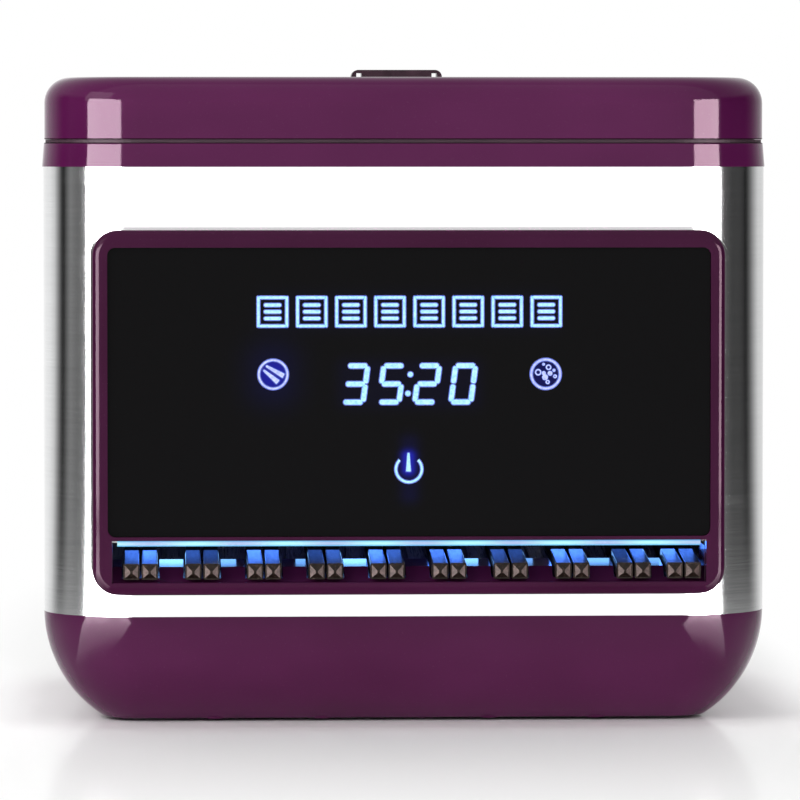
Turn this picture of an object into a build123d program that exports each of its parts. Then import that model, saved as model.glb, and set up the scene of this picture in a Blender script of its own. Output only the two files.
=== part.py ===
"""Counter-top chopstick sterilizer box, in millimetres.

Frame: origin on the worktop under the middle of the whole machine, +X to the right, +Y to the back,
+Z up. The front of the machine faces -Y.
"""

import os
from math import acos, atan2, cos, degrees, radians, sin, sqrt, tan

from build123d import *

os.makedirs("parts", exist_ok=True)

# ---- Driving dimensions -------------------------------------------------------------------------

# Housing
body_width = 340.0
back_room = 23.7
plan_radius = 45.0
base_lift = 1.2
seam_height = 51.4
wrap_height = 209.0
collar_height = 11.2
lid_gap = 1.6
lid_height = 29.0
moulded_wall = 3.0
sheet = 0.8
fit_gap = 0.3
face_gap = 0.1

# Tub: its side is one arc that curves under to the floor
tub_arc = 60.0
tub_arc_rise = 0.6
tub_heel = 4.0
tub_foot = 6.0
tongue_height = 5.0
tongue_wall = 2.0
service_inset = 65.0
service_radius = 10.0
service_lap = 8.0
cover_sheet = 1.2
foot_radius = 10.0
foot_side_inset = 50.0
foot_end_inset = 47.0
foot_chamfer = 0.6
boss_radius = 4.7
boss_inset = 31.0
boss_height = 3.2
boss_inner_x = 39.2
boss_outer_inset = 80.4

# Lid and collar
collar_flare = 0.9
throat_front = 14.0
collar_wall = 2.5
collar_round = 0.8
throat_radius = 5.0
collar_skirt = 6.0
lid_inset = 0.7
lid_edge_round = 12.0
liner_inset = 4.5
liner_wall = 2.5
liner_sheet = 2.0
liner_recess = 2.8
pan_inset = 26.0
pan_rise = 5.0
pan_taper_angle = 30.0
seal_inset = 7.4
seal_width = 5.6
seal_chamfer = 1.4
hinge_offset = 5.0
hinge_barrel_radius = 4.5
hinge_pin_radius = 2.0
hinge_inset = 75.0
hinge_leaf_length = 24.0
hinge_leaf_height = 13.5
hinge_lug_length = 8.0
pin_play = 0.06
pin_hold = 0.02

# Handle on the lid
handle_length = 44.0
handle_rise = 4.7
handle_depth = 14.0
handle_strap = 1.5
handle_post = 2.4
handle_window = 2.6
handle_lift = 0.9
handle_round = 3.4
handle_screw_x = 12.0
handle_screw_radius = 1.5
handle_boss_radius = 3.0
handle_head_radius = 2.8
handle_head_height = 1.8

# Front module: bezel, glass, light and mouth
bezel_side = 22.5
bezel_height = 170.8
bezel_bottom = 61.6
bezel_depth = 18.0
bezel_radius = 13.0
bezel_draft_angle = 4.0
bezel_rim_round = 4.0
bezel_face = 6.5
bezel_wall = 3.0
glass_border = 8.3
glass_height = 133.2
glass_bottom = 89.9
glass_thickness = 3.0
glass_corner = 3.6
glass_recess = 1.5
glass_play = 0.2
glass_ledge = 3.0
bar_height = 1.9
mouth_border = 10.0
mouth_sill = 68.7
sill_round = 1.2
light_height = 2.7
light_round = 0.9
light_end_gap = 2.5
light_setback = 1.8
light_board_sheet = 1.6
light_board_height = 7.6
window_lap = 4.5
window_radius = 2.0

# Chopsticks and their bays
stick_length = 225.0
stick_head = 7.5
stick_tip = 4.6
stick_point = 1.8
stick_point_face = 1.2
stick_corner = 0.7
stick_spacing = 0.9
stick_setback = 2.5
stick_head_height = 73.6
slope = 6.0
pair_count = 10
first_bay_inset = 13.2
last_bay_inset = 10.2
last_bay_step = 23.2
bay_play = 0.8
comb_front = 14.0
comb_back = 34.0
comb_top = 75.0
comb_floor = 3.0
comb_cheek = 2.0
comb_cheek_height = 16.0
comb_play = 0.2

# Hopper
hopper_side = 29.5
hopper_load_room = 5.0
hopper_wall = 1.5
hopper_floor = 2.2
hopper_exit = 12.5
hopper_flange = 8.0
hopper_flange_radius = 16.0
hopper_flange_sheet = 2.0
rib_width = 6.0
rib_height = 3.0
lug_half_width = 13.0
lug_thickness = 4.0
lug_drop = 11.0

# Stirrer and its drive
shaft_y = 0.0
shaft_drop = 12.0
shaft_radius = 3.0
sleeve_radius = 5.5
paddle_reach = 16.5
paddle_root = 6.5
paddle_tip_radius = 3.0
paddle_thickness = 3.6
paddle_slot_play = 1.4
bearing_radius = 5.5
bearing_flange = 7.5
bearing_flange_sheet = 1.2
running_play = 0.05
press_play = 0.01
shaft_stub = 2.4
gear_module = 1.25
gear_teeth = 40
pinion_teeth = 16
gear_face = 6.0
gear_gap = 1.8
tooth_top = 1.05
tooth_foot = 1.45
tooth_root_half = 1.33
tooth_flank_half = 1.18
tooth_pitch_half = 0.90
tooth_tip_half = 0.43
gear_web = 2.4
gear_rim = 4.0
gear_hub_radius = 7.0
gear_hole_count = 5
drive_angle = -31.0
gearbox_radius = 18.5
gearbox_length = 22.0
can_radius = 17.0
can_length = 30.0
can_chamfer = 3.0
motor_boss_radius = 6.0
motor_boss_length = 3.5
motor_shaft_radius = 3.0
bracket_sheet = 2.0
bracket_width = 46.0
bracket_foot = 16.0
bracket_corner = 4.0
bracket_gap = 7.5

# Lamp, air and electrics
lamp_radius = 7.5
lamp_end = 34.5
lamp_height = 232.0
lamp_cap_radius = 8.2
lamp_cap_length = 12.0
holder_length = 9.0
holder_height = 26.0
lamp_window_height = 13.0
box_round = 2.2
fan_x = 70.0
fan_height = 128.0
fan_side = 50.0
fan_thickness = 10.0
fan_bore = 23.5
fan_corner = 4.0
fan_spider = 2.0
fan_pin_length = 5.0
fan_hub = 11.0
fan_tip_play = 1.0
fan_blades = 7
fan_blade_sheet = 1.2
fan_blade_root = 5.5
fan_blade_angle = 38.0
fan_pin_radius = 1.5
heater_frame = 4.0
heater_fin = 1.0
heater_fin_count = 12
vent_slot = 3.0
vent_pitch = 6.0
vent_count = 8
ozone_x = -70.0
ozone_width = 52.0
ozone_height = 34.0
ozone_depth = 15.0
ozone_spout = 3.0
board_sheet = 1.6
board_margin = 7.0
board_gap = 23.0
main_board_depth = 80.0
standoff_radius = 3.0
standoff_height = 6.0
standoff_inset = 5.0
ballast_length = 96.0
ballast_width = 34.0
ballast_height = 24.0
ballast_margin = 26.0
transformer_width = 38.4
transformer_depth = 34.0
transformer_height = 24.0
transformer_x = -30.0
transformer_y = 16.0
capacitor_radius = 6.0
capacitor_height = 16.8
capacitor_count = 3
capacitor_pitch = 20.0
capacitor_x = 15.0
capacitor_y = 20.0
socket_length = 17.0
socket_size = 6.0
socket_count = 4
socket_pitch = 24.0
display_board_width = 190.0
display_board_height = 104.0
display_board_mid = 160.0
clock_block_width = 66.0
clock_block_height = 21.0
cell_block_width = 143.0
cell_block_height = 16.8
cell_block_rise = 33.0
symbol_block_radius = 8.4
symbol_block_x = 63.0
symbol_block_rise = 5.0
power_block_drop = 38.3
display_block_depth = 5.0
gland_x = -95.0
gland_height = 76.0
gland_bore = 3.5
gland_sleeve = 6.0
gland_flange = 9.5
gland_flange_depth = 3.0
gland_chamfer = 1.5
gland_inner_depth = 6.0
interlock_inset = 50.0
interlock_size = 8.0
interlock_length = 14.0
interlock_depth = 4.0
magnet_radius = 4.0
magnet_height = 3.0

# ---- Worked out from them -----------------------------------------------------------------------

# the plan is as deep as it has to be for the chopsticks to lie in the hopper
hopper_length = stick_length + hopper_load_room
body_depth = throat_front + hopper_length + hopper_wall + back_room + sheet
rear_reach = hinge_offset + hinge_barrel_radius
body_y = (bezel_depth - rear_reach) / 2
front_face = body_y - body_depth / 2
rear_face = body_y + body_depth / 2
bezel_front = front_face - bezel_depth
wrap_top = seam_height + wrap_height
collar_top = wrap_top + collar_height
lid_bottom = collar_top + lid_gap
lid_top = lid_bottom + lid_height
tub_floor = base_lift + moulded_wall
inner_rear = rear_face - sheet

service_width = body_width - 2 * service_inset
service_depth = body_depth - 2 * service_inset
foot_x = body_width / 2 - foot_side_inset
foot_y = body_depth / 2 - foot_end_inset
boss_outer_x = body_width / 2 - boss_outer_inset
bezel_width = body_width - 2 * bezel_side
glass_width = bezel_width - 2 * glass_border
mouth_width = bezel_width - 2 * mouth_border
light_length = mouth_width - 2 * light_end_gap
hopper_width = body_width - 2 * hopper_side
lug_outer = hopper_width / 2 + hopper_wall
gear_start = lug_outer + bearing_flange_sheet + gear_gap
gear_end = gear_start + gear_face
bracket_face = gear_start - bracket_gap
lamp_length = hopper_width - 2 * lamp_end
ballast_x = service_width / 2 - ballast_margin - ballast_width / 2
main_board_width = service_width - board_margin - board_gap - ballast_width - ballast_margin
main_board_x = board_margin + main_board_width / 2 - service_width / 2
interlock_x = body_width / 2 - interlock_inset

floor_origin = bezel_front + stick_setback
floor_height = stick_head_height - stick_head / 2 / cos(radians(slope)) - fit_gap
first_bay_x = first_bay_inset - mouth_width / 2
last_even_x = mouth_width / 2 - last_bay_inset - last_bay_step
bay_pitch = (last_even_x - first_bay_x) / (pair_count - 2)
pair_xs = [first_bay_x + bay_pitch * i for i in range(pair_count - 1)]
pair_xs.append(pair_xs[-1] + last_bay_step)
rib_xs = [(left + right) / 2 for left, right in zip(pair_xs, pair_xs[1:])]
pair_width = 2 * stick_head + stick_spacing
hopper_front = front_face + throat_front - hopper_wall
hopper_rear = hopper_front + hopper_length + 2 * hopper_wall
hopper_mid = (hopper_front + hopper_rear) / 2 - body_y


# how far back the steel has curved where the bezel ends
corner_run = bezel_width / 2 - (body_width / 2 - plan_radius)
corner_reach = plan_radius - sqrt(plan_radius**2 - corner_run**2) + sheet + fit_gap


def floor_z(y):
    """Height of the top of the sloping floor at a place along the machine."""
    return floor_height + tan(radians(slope)) * (y - floor_origin)


def level(height):
    """Horizontal plane over the middle of the housing's plan."""
    return Plane((0, body_y, height))


def upright(y):
    """Plane seen from the front: its x is +X, its y is +Z, and it faces -Y."""
    return Plane((0, y, 0), x_dir=(1, 0, 0), z_dir=(0, -1, 0))


def side(x):
    """Plane seen from the right: its x is +Y, its y is +Z, and it faces +X."""
    return Plane((x, 0, 0), x_dir=(0, 1, 0), z_dir=(1, 0, 0))


def outline(inset, mode=Mode.ADD):
    """The housing's rounded plan, drawn in by inset."""
    return RectangleRounded(
        body_width - 2 * inset, body_depth - 2 * inset, plan_radius - inset, mode=mode
    )


def save(piece, label):
    """Name a finished piece and write it."""
    piece.label = label
    export_step(piece, f"parts/{label}.step")


# ---- Tub ----------------------------------------------------------------------------------------

arc_height = seam_height + tub_arc_rise
heel_angle = radians(90) - acos((arc_height - base_lift - tub_heel) / (tub_arc - tub_heel))


def on_arc(radius, angle):
    """Point of the tub's section on an arc round its centre, angle below the level."""
    return (radius * cos(angle) - tub_arc, arc_height - radius * sin(angle))


def angle_at(radius, height):
    """Angle below the level where the arc of this radius passes a height."""
    return radians(90) - acos((arc_height - height) / radius)


inner_arc = tub_arc - moulded_wall
tub_path = (level(0) * outline(0, Mode.PRIVATE)).wire()
path_along = tub_path % 0
section_plane = Plane(
    tub_path @ 0, x_dir=(path_along.Y, -path_along.X, 0), z_dir=(-path_along.X, -path_along.Y, 0)
)

with BuildPart() as base_tub:
    outer_top = angle_at(tub_arc, seam_height)
    inner_top = angle_at(inner_arc, seam_height)
    inner_low = angle_at(inner_arc, tub_floor)
    heel_centre = on_arc(tub_arc - tub_heel, heel_angle)
    heel_mid = radians(90) / 2 + heel_angle / 2
    heel_low = (heel_centre[0], base_lift)
    inner_foot = on_arc(inner_arc, inner_low)
    with BuildSketch(section_plane):
        with BuildLine():
            ThreePointArc(
                on_arc(tub_arc, outer_top),
                on_arc(tub_arc, (outer_top + heel_angle) / 2),
                on_arc(tub_arc, heel_angle),
            )
            ThreePointArc(
                on_arc(tub_arc, heel_angle),
                (
                    heel_centre[0] + tub_heel * cos(heel_mid),
                    heel_centre[1] - tub_heel * sin(heel_mid),
                ),
                heel_low,
            )
            Polyline(
                heel_low,
                (heel_low[0] - tub_foot, base_lift),
                (heel_low[0] - tub_foot, tub_floor),
                inner_foot,
            )
            ThreePointArc(
                inner_foot,
                on_arc(inner_arc, (inner_top + inner_low) / 2),
                on_arc(inner_arc, inner_top),
            )
            Line(on_arc(inner_arc, inner_top), on_arc(tub_arc, outer_top))
        make_face()
    sweep(path=tub_path)
    floor_inset = -heel_low[0] + tub_foot / 2
    with BuildSketch(level(base_lift)):
        outline(floor_inset)
    extrude(amount=moulded_wall)
    # tongue that stands up inside the foot of the steel wrap
    tongue_inset = sheet + face_gap
    with BuildSketch(level(seam_height)):
        outline(tongue_inset)
        outline(tongue_inset + tongue_wall, Mode.SUBTRACT)
    extrude(amount=tongue_height)
    # round bosses that break out of the curved wall, low on the front and back
    boss_y = body_depth / 2 - boss_inset
    with BuildSketch(level(base_lift)):
        with Locations(
            *[
                (x_side * x, y_side * boss_y)
                for x in (boss_inner_x, boss_outer_x)
                for x_side in (-1, 1)
                for y_side in (-1, 1)
            ]
        ):
            Circle(boss_radius)
    extrude(amount=boss_height)
    # opening for the service cover, with a lap for it to lie in
    with BuildSketch(level(base_lift)):
        RectangleRounded(service_width, service_depth, service_radius)
    extrude(amount=moulded_wall, mode=Mode.SUBTRACT)
    with BuildSketch(level(base_lift)):
        RectangleRounded(
            service_width + 2 * service_lap, service_depth + 2 * service_lap, service_radius + service_lap
        )
    extrude(amount=cover_sheet + face_gap, mode=Mode.SUBTRACT)
    # pockets for the rubber feet
    with BuildSketch(level(base_lift)):
        with GridLocations(2 * foot_x, 2 * foot_y, 2, 2):
            Circle(foot_radius + face_gap)
    extrude(amount=cover_sheet, mode=Mode.SUBTRACT)
save(base_tub.part, "base_tub")

for side_name, x_sign in (("left", -1), ("right", 1)):
    for end_name, y_sign in (("front", -1), ("rear", 1)):
        with BuildPart() as foot:
            with BuildSketch(level(0)):
                with Locations((x_sign * foot_x, y_sign * foot_y)):
                    Circle(foot_radius)
            extrude(amount=base_lift + cover_sheet)
            chamfer(foot.edges().group_by(Axis.Z)[0], foot_chamfer)
        save(foot.part, f"foot_{end_name}_{side_name}")

with BuildPart() as bottom_cover:
    with BuildSketch(level(base_lift)):
        RectangleRounded(
            service_width + 2 * (service_lap - fit_gap),
            service_depth + 2 * (service_lap - fit_gap),
            service_radius + service_lap - fit_gap,
        )
        with GridLocations(vent_pitch * 2, 0, vent_count, 1):
            SlotOverall(service_depth / 2, vent_slot, rotation=90, mode=Mode.SUBTRACT)
    extrude(amount=cover_sheet)
save(bottom_cover.part, "bottom_cover")


# ---- Steel wrap ---------------------------------------------------------------------------------

bezel_mid = bezel_bottom + bezel_height / 2
with BuildPart() as steel_wrap:
    with BuildSketch(level(seam_height)):
        outline(0)
        outline(sheet, Mode.SUBTRACT)
    extrude(amount=wrap_height)
    # window behind the bezel, which reaches into the curved corners
    with BuildSketch(upright(front_face + corner_reach)):
        with Locations((0, bezel_mid)):
            RectangleRounded(bezel_width - 2 * window_lap, bezel_height - 2 * window_lap, window_radius)
    extrude(amount=corner_reach + sheet, mode=Mode.SUBTRACT)
    # slots behind the fan
    with BuildSketch(upright(rear_face + sheet)):
        with Locations((fan_x, fan_height)):
            with GridLocations(0, vent_pitch, 1, vent_count):
                SlotOverall(fan_side - vent_slot, vent_slot)
        with Locations((gland_x, gland_height)):
            Circle(gland_sleeve + face_gap)
    extrude(amount=3 * sheet, mode=Mode.SUBTRACT)
save(steel_wrap.part, "steel_wrap")


# ---- Collar and the hinge brackets on its back ----------------------------------------------------

hinge_y = rear_face + hinge_offset
hinge_z = collar_top + lid_gap / 2
hinge_xs = (hinge_inset - body_width / 2, body_width / 2 - hinge_inset)
lug_reach = hinge_leaf_length / 2 + fit_gap + hinge_lug_length
collar_taper = degrees(atan2(collar_flare, collar_height))

with BuildPart() as collar:
    with BuildSketch(level(wrap_top)):
        outline(-collar_flare / 2)
    extrude(amount=collar_height, taper=collar_taper)
    with BuildSketch(level(wrap_top)):
        outline(collar_wall)
    extrude(amount=collar_height - collar_wall, mode=Mode.SUBTRACT)
    # throat that lets the chopsticks down into the hopper
    with BuildSketch(level(wrap_top)):
        with Locations((0, hopper_mid)):
            RectangleRounded(
                hopper_width + 2 * collar_wall,
                hopper_length + 2 * collar_wall,
                throat_radius + collar_wall,
            )
    extrude(amount=collar_height)
    with BuildSketch(level(wrap_top)):
        with Locations((0, hopper_mid)):
            RectangleRounded(hopper_width, hopper_length, throat_radius)
    extrude(amount=collar_height, mode=Mode.SUBTRACT)
    fillet(collar.faces().sort_by(Axis.Z)[-1].edges(), collar_round)
    # skirt that drops inside the steel
    with BuildSketch(level(wrap_top - collar_skirt)):
        outline(sheet + face_gap)
        outline(sheet + face_gap + tongue_wall, Mode.SUBTRACT)
    extrude(amount=collar_skirt + collar_height - collar_wall)
save(collar.part, "collar")

# a pair of lugs at each hinge, shaped to the back of the collar
for bracket_name, hinge_x in zip(("left", "right"), hinge_xs):
    with BuildPart() as hinge_bracket:
        for lug_side in (-1, 1):
            lug_x = hinge_x + lug_side * (lug_reach - hinge_lug_length / 2)
            with BuildSketch(side(lug_x - hinge_lug_length / 2)):
                with Locations((hinge_y, hinge_z)):
                    Circle(hinge_barrel_radius)
                Polygon(
                    (rear_face - collar_wall / 2, wrap_top + collar_wall),
                    (rear_face - collar_wall / 2, collar_top - collar_wall),
                    (hinge_y, hinge_z),
                    (hinge_y + hinge_barrel_radius, hinge_z),
                    align=None,
                )
                with Locations((hinge_y, hinge_z)):
                    Circle(hinge_pin_radius + pin_hold, mode=Mode.SUBTRACT)
            extrude(amount=hinge_lug_length)
        with BuildSketch(level(wrap_top)):
            outline(-collar_flare / 2)
        extrude(amount=collar_height, taper=collar_taper, mode=Mode.SUBTRACT)
    save(hinge_bracket.part, f"hinge_bracket_{bracket_name}")

with BuildPart() as hinge_pins:
    for hinge_x in hinge_xs:
        with BuildSketch(side(hinge_x - lug_reach)):
            with Locations((hinge_y, hinge_z)):
                Circle(hinge_pin_radius)
        extrude(amount=2 * lug_reach)
save(hinge_pins.part, "hinge_pins")


# ---- Lid ----------------------------------------------------------------------------------------

with BuildPart() as lid:
    with BuildSketch(level(lid_bottom)):
        outline(lid_inset)
    extrude(amount=lid_height)
    fillet(lid.faces().sort_by(Axis.Z)[-1].edges(), lid_edge_round)
    offset(amount=-moulded_wall, openings=lid.faces().sort_by(Axis.Z)[0])
    with BuildSketch(level(lid_top - moulded_wall)):
        with Locations((-handle_screw_x, 0), (handle_screw_x, 0)):
            Circle(handle_screw_radius + face_gap)
    extrude(amount=moulded_wall, mode=Mode.SUBTRACT)
save(lid.part, "lid")

# leaves that reach from the lid's back wall round the pins
for leaf_name, hinge_x in zip(("left", "right"), hinge_xs):
    with BuildPart() as hinge_leaf:
        lid_back = rear_face - lid_inset
        with BuildSketch(side(hinge_x - hinge_leaf_length / 2)):
            with Locations((hinge_y, hinge_z)):
                Circle(hinge_barrel_radius)
            Polygon(
                (lid_back, lid_bottom + fit_gap),
                (hinge_y, hinge_z - hinge_pin_radius),
                (hinge_y, hinge_z + hinge_barrel_radius),
                (lid_back + sheet, lid_bottom + hinge_leaf_height),
                (lid_back, lid_bottom + hinge_leaf_height),
                align=None,
            )
            with Locations((hinge_y, hinge_z)):
                Circle(hinge_pin_radius + pin_play, mode=Mode.SUBTRACT)
        extrude(amount=hinge_leaf_length)
    save(hinge_leaf.part, f"hinge_leaf_{leaf_name}")

with BuildPart() as lid_liner:
    liner_height = lid_bottom + liner_recess
    with BuildSketch(level(liner_height)):
        outline(lid_inset + moulded_wall + fit_gap)
    extrude(amount=liner_sheet)
    with BuildSketch(level(collar_top + fit_gap)):
        outline(liner_inset)
        outline(liner_inset + liner_wall, Mode.SUBTRACT)
    extrude(amount=liner_height - collar_top - fit_gap)
    # pressed pan that stiffens the panel
    with BuildSketch(level(liner_height)):
        outline(pan_inset)
    extrude(amount=pan_rise + liner_sheet, taper=pan_taper_angle)
    with BuildSketch(level(liner_height)):
        outline(pan_inset + liner_sheet)
    extrude(amount=pan_rise, taper=pan_taper_angle, mode=Mode.SUBTRACT)
save(lid_liner.part, "lid_liner")

with BuildPart() as lid_seal:
    with BuildSketch(level(collar_top + fit_gap)):
        outline(seal_inset)
        outline(seal_inset + seal_width, Mode.SUBTRACT)
    extrude(amount=liner_height - collar_top - fit_gap)
    chamfer(lid_seal.edges().group_by(Axis.Z)[0], seal_chamfer)
save(lid_seal.part, "lid_seal")

with BuildPart() as lid_handle:
    with BuildSketch(upright(body_y + handle_depth / 2)):
        with Locations((0, lid_top + handle_rise / 2)):
            Rectangle(handle_length, handle_rise)
        grip_half = handle_length / 2 - handle_post - handle_window
        with Locations((0, lid_top + handle_lift / 2)):
            Rectangle(2 * grip_half, handle_lift, mode=Mode.SUBTRACT)
        for post_side in (-1, 1):
            with Locations((post_side * (grip_half + handle_window / 2), lid_top)):
                Rectangle(
                    handle_window,
                    handle_rise - handle_strap,
                    align=(Align.CENTER, Align.MIN),
                    mode=Mode.SUBTRACT,
                )
    extrude(amount=handle_depth)
    top_corners = lid_handle.edges().filter_by(Axis.Y).group_by(Axis.Z)[-1]
    fillet(top_corners, handle_round)
    # bosses that stand on the lid under the grip
    with BuildSketch(level(lid_top)):
        with Locations((-handle_screw_x, 0), (handle_screw_x, 0)):
            Circle(handle_boss_radius)
    extrude(amount=handle_lift)
    with BuildSketch(level(lid_top)):
        with Locations((-handle_screw_x, 0), (handle_screw_x, 0)):
            Circle(handle_screw_radius)
    extrude(amount=handle_rise - handle_strap, mode=Mode.SUBTRACT)
save(lid_handle.part, "lid_handle")

with BuildPart() as lid_handle_screws:
    lid_inside = lid_top - moulded_wall
    with BuildSketch(level(lid_inside - handle_head_height)):
        with Locations((-handle_screw_x, 0), (handle_screw_x, 0)):
            Circle(handle_head_radius)
    extrude(amount=handle_head_height)
    with BuildSketch(level(lid_inside)):
        with Locations((-handle_screw_x, 0), (handle_screw_x, 0)):
            Circle(handle_screw_radius - face_gap / 2)
    extrude(amount=moulded_wall + handle_rise - 2 * handle_strap)
save(lid_handle_screws.part, "lid_handle_screws")

# magnet in the lid and the reed sensor under the collar that it holds shut
interlock_y = body_depth / 2 - seal_inset - seal_width - interlock_size / 2
with BuildPart() as lid_magnet:
    with BuildSketch(level(liner_height + liner_sheet)):
        with Locations((interlock_x, interlock_y)):
            Circle(magnet_radius)
    extrude(amount=magnet_height)
save(lid_magnet.part, "lid_magnet")

with BuildPart() as reed_sensor:
    with BuildSketch(level(collar_top - collar_wall)):
        with Locations((interlock_x, interlock_y)):
            Rectangle(interlock_length, interlock_size)
    extrude(amount=-interlock_depth)
save(reed_sensor.part, "reed_sensor")


# ---- Front module -------------------------------------------------------------------------------

glass_mid = glass_bottom + glass_height / 2
bar_bottom = glass_bottom - bar_height
front_back = bezel_front + bezel_face
with BuildPart() as bezel:
    with BuildSketch(upright(front_face)):
        with Locations((0, bezel_mid)):
            RectangleRounded(bezel_width, bezel_height, bezel_radius)
    extrude(amount=bezel_depth, taper=bezel_draft_angle)
    fillet(bezel.faces().sort_by(Axis.Y)[0].edges(), bezel_rim_round)
    # hollow from behind
    with BuildSketch(upright(front_face)):
        with Locations((0, bezel_mid)):
            RectangleRounded(
                bezel_width - 2 * bezel_wall, bezel_height - 2 * bezel_wall, bezel_radius - bezel_wall
            )
    extrude(amount=bezel_depth - bezel_face, taper=bezel_draft_angle, mode=Mode.SUBTRACT)
    # side walls carried back to the steel where it curves away
    with BuildSketch(upright(front_face)):
        with Locations((0, bezel_mid)):
            RectangleRounded(bezel_width, bezel_height, bezel_radius)
            RectangleRounded(
                bezel_width - 2 * bezel_wall,
                bezel_height - 2 * bezel_wall,
                bezel_radius - bezel_wall,
                mode=Mode.SUBTRACT,
            )
    extrude(amount=-corner_reach)
    with BuildSketch(level(bezel_bottom - bezel_wall)):
        outline(0)
    extrude(amount=bezel_height + 2 * bezel_wall, mode=Mode.SUBTRACT)
    # seat for the glass, and the opening behind it
    with BuildSketch(upright(bezel_front + glass_recess + glass_thickness)):
        with Locations((0, glass_mid)):
            RectangleRounded(glass_width + 2 * glass_play, glass_height + 2 * glass_play, glass_corner)
    extrude(amount=bezel_face, mode=Mode.SUBTRACT)
    with BuildSketch(upright(front_back)):
        with Locations((0, glass_mid)):
            Rectangle(glass_width - 2 * glass_ledge, glass_height - 2 * glass_ledge)
    extrude(amount=bezel_face, mode=Mode.SUBTRACT)
    # mouth, from its sill to the bar under the glass
    with BuildSketch(upright(front_back)):
        with Locations((0, (mouth_sill + bar_bottom) / 2)):
            Rectangle(mouth_width, bar_bottom - mouth_sill)
    extrude(amount=bezel_face, mode=Mode.SUBTRACT)
    sill_edges = (
        bezel.edges()
        .filter_by(Axis.X)
        .filter_by_position(Axis.Y, bezel_front - face_gap, bezel_front + face_gap)
        .filter_by_position(Axis.Z, mouth_sill - face_gap, mouth_sill + face_gap)
    )
    fillet(sill_edges, sill_round)
save(bezel.part, "bezel")

with BuildPart() as glass_panel:
    with BuildSketch(upright(bezel_front + glass_recess + glass_thickness)):
        with Locations((0, glass_mid)):
            RectangleRounded(glass_width, glass_height, glass_corner - glass_play)
    extrude(amount=glass_thickness)
save(glass_panel.part, "glass_panel")

with BuildPart() as light_diffuser:
    with BuildSketch(upright(front_back)):
        with Locations((0, bar_bottom - light_height / 2)):
            Rectangle(light_length, light_height)
    extrude(amount=bezel_face - light_setback)
    front_edges = light_diffuser.edges().filter_by(Axis.X).group_by(Axis.Y)[0]
    fillet(front_edges, light_round)
save(light_diffuser.part, "light_diffuser")

with BuildPart() as light_board:
    with BuildSketch(upright(front_back + light_board_sheet)):
        with Locations((0, bar_bottom - light_height + light_board_height / 2)):
            Rectangle(light_length, light_board_height)
    extrude(amount=light_board_sheet)
save(light_board.part, "light_board")

with BuildPart() as display_board:
    board_back = bezel_front + glass_recess + glass_thickness + display_block_depth
    with BuildSketch(upright(board_back + board_sheet)):
        with Locations((0, display_board_mid)):
            Rectangle(display_board_width, display_board_height)
    extrude(amount=board_sheet)
    with BuildSketch(upright(board_back)):
        with Locations((0, display_board_mid)):
            Rectangle(clock_block_width, clock_block_height)
        with Locations((0, display_board_mid + cell_block_rise)):
            Rectangle(cell_block_width, cell_block_height)
        with Locations(
            (-symbol_block_x, display_board_mid + symbol_block_rise),
            (symbol_block_x, display_board_mid + symbol_block_rise),
            (0, display_board_mid - power_block_drop),
        ):
            Circle(symbol_block_radius)
    extrude(amount=display_block_depth)
save(display_board.part, "display_board")


# ---- Mouth comb ---------------------------------------------------------------------------------


def ahead(depth):
    """Place along the machine, given as a depth behind the bezel's front."""
    return bezel_front + depth


floor_plane = Plane(
    (0, floor_origin, floor_height),
    x_dir=(1, 0, 0),
    z_dir=(0, -sin(radians(slope)), cos(radians(slope))),
)
comb_end_top = comb_top + tan(radians(slope)) * (comb_back - comb_front)
bay_width = pair_width + 2 * bay_play
with BuildPart() as mouth_lip:
    comb_half = mouth_width / 2 - comb_play
    with BuildSketch(side(-comb_half)):
        Polygon(
            (ahead(bezel_face), floor_z(ahead(bezel_face)) - comb_floor),
            (ahead(bezel_face), mouth_sill),
            (ahead(comb_front), comb_top),
            (ahead(comb_back), comb_end_top),
            (ahead(comb_back), floor_z(ahead(comb_back)) - comb_floor),
            align=None,
        )
    extrude(amount=2 * comb_half)
    with BuildSketch(floor_plane):
        for pair_x in pair_xs:
            with Locations((pair_x, comb_back / 2)):
                Rectangle(bay_width, 2 * comb_back)
    extrude(amount=comb_back, mode=Mode.SUBTRACT)
    for cheek_x in (-comb_half - comb_cheek, comb_half):
        with BuildSketch(side(cheek_x)):
            Polygon(
                (ahead(bezel_face), floor_z(ahead(bezel_face)) - comb_floor),
                (ahead(bezel_face), mouth_sill + comb_cheek_height),
                (ahead(comb_back), mouth_sill + comb_cheek_height),
                (ahead(comb_back), floor_z(ahead(comb_back)) - comb_floor),
                align=None,
            )
        extrude(amount=comb_cheek)
save(mouth_lip.part, "mouth_lip")


# ---- Chopsticks ---------------------------------------------------------------------------------

# plane across the sticks at their heads: its x is +X and its y points down across the slope
head_plane = Plane(
    (0, floor_origin, stick_head_height),
    x_dir=(1, 0, 0),
    z_dir=(0, cos(radians(slope)), sin(radians(slope))),
)
for number, pair_x in enumerate(pair_xs, start=1):
    with BuildPart() as pair:
        for stick_side in (-1, 1):
            stick_x = pair_x + stick_side * (stick_head + stick_spacing) / 2
            with BuildSketch(head_plane):
                with Locations((stick_x, 0)):
                    RectangleRounded(stick_head, stick_head, stick_corner)
            with BuildSketch(head_plane.offset(stick_length)):
                with Locations((stick_x, (stick_head - stick_tip) / 2)):
                    RectangleRounded(stick_tip, stick_tip, stick_corner)
            loft()
            with BuildSketch(head_plane.offset(-stick_point)):
                with Locations((stick_x, 0)):
                    Rectangle(stick_point_face, stick_point_face)
            with BuildSketch(head_plane):
                with Locations((stick_x, 0)):
                    Rectangle(stick_head - 2 * stick_corner, stick_head - 2 * stick_corner)
            loft()
    save(pair.part, f"chopsticks_{number:02d}")


# ---- Hopper -------------------------------------------------------------------------------------

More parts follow.
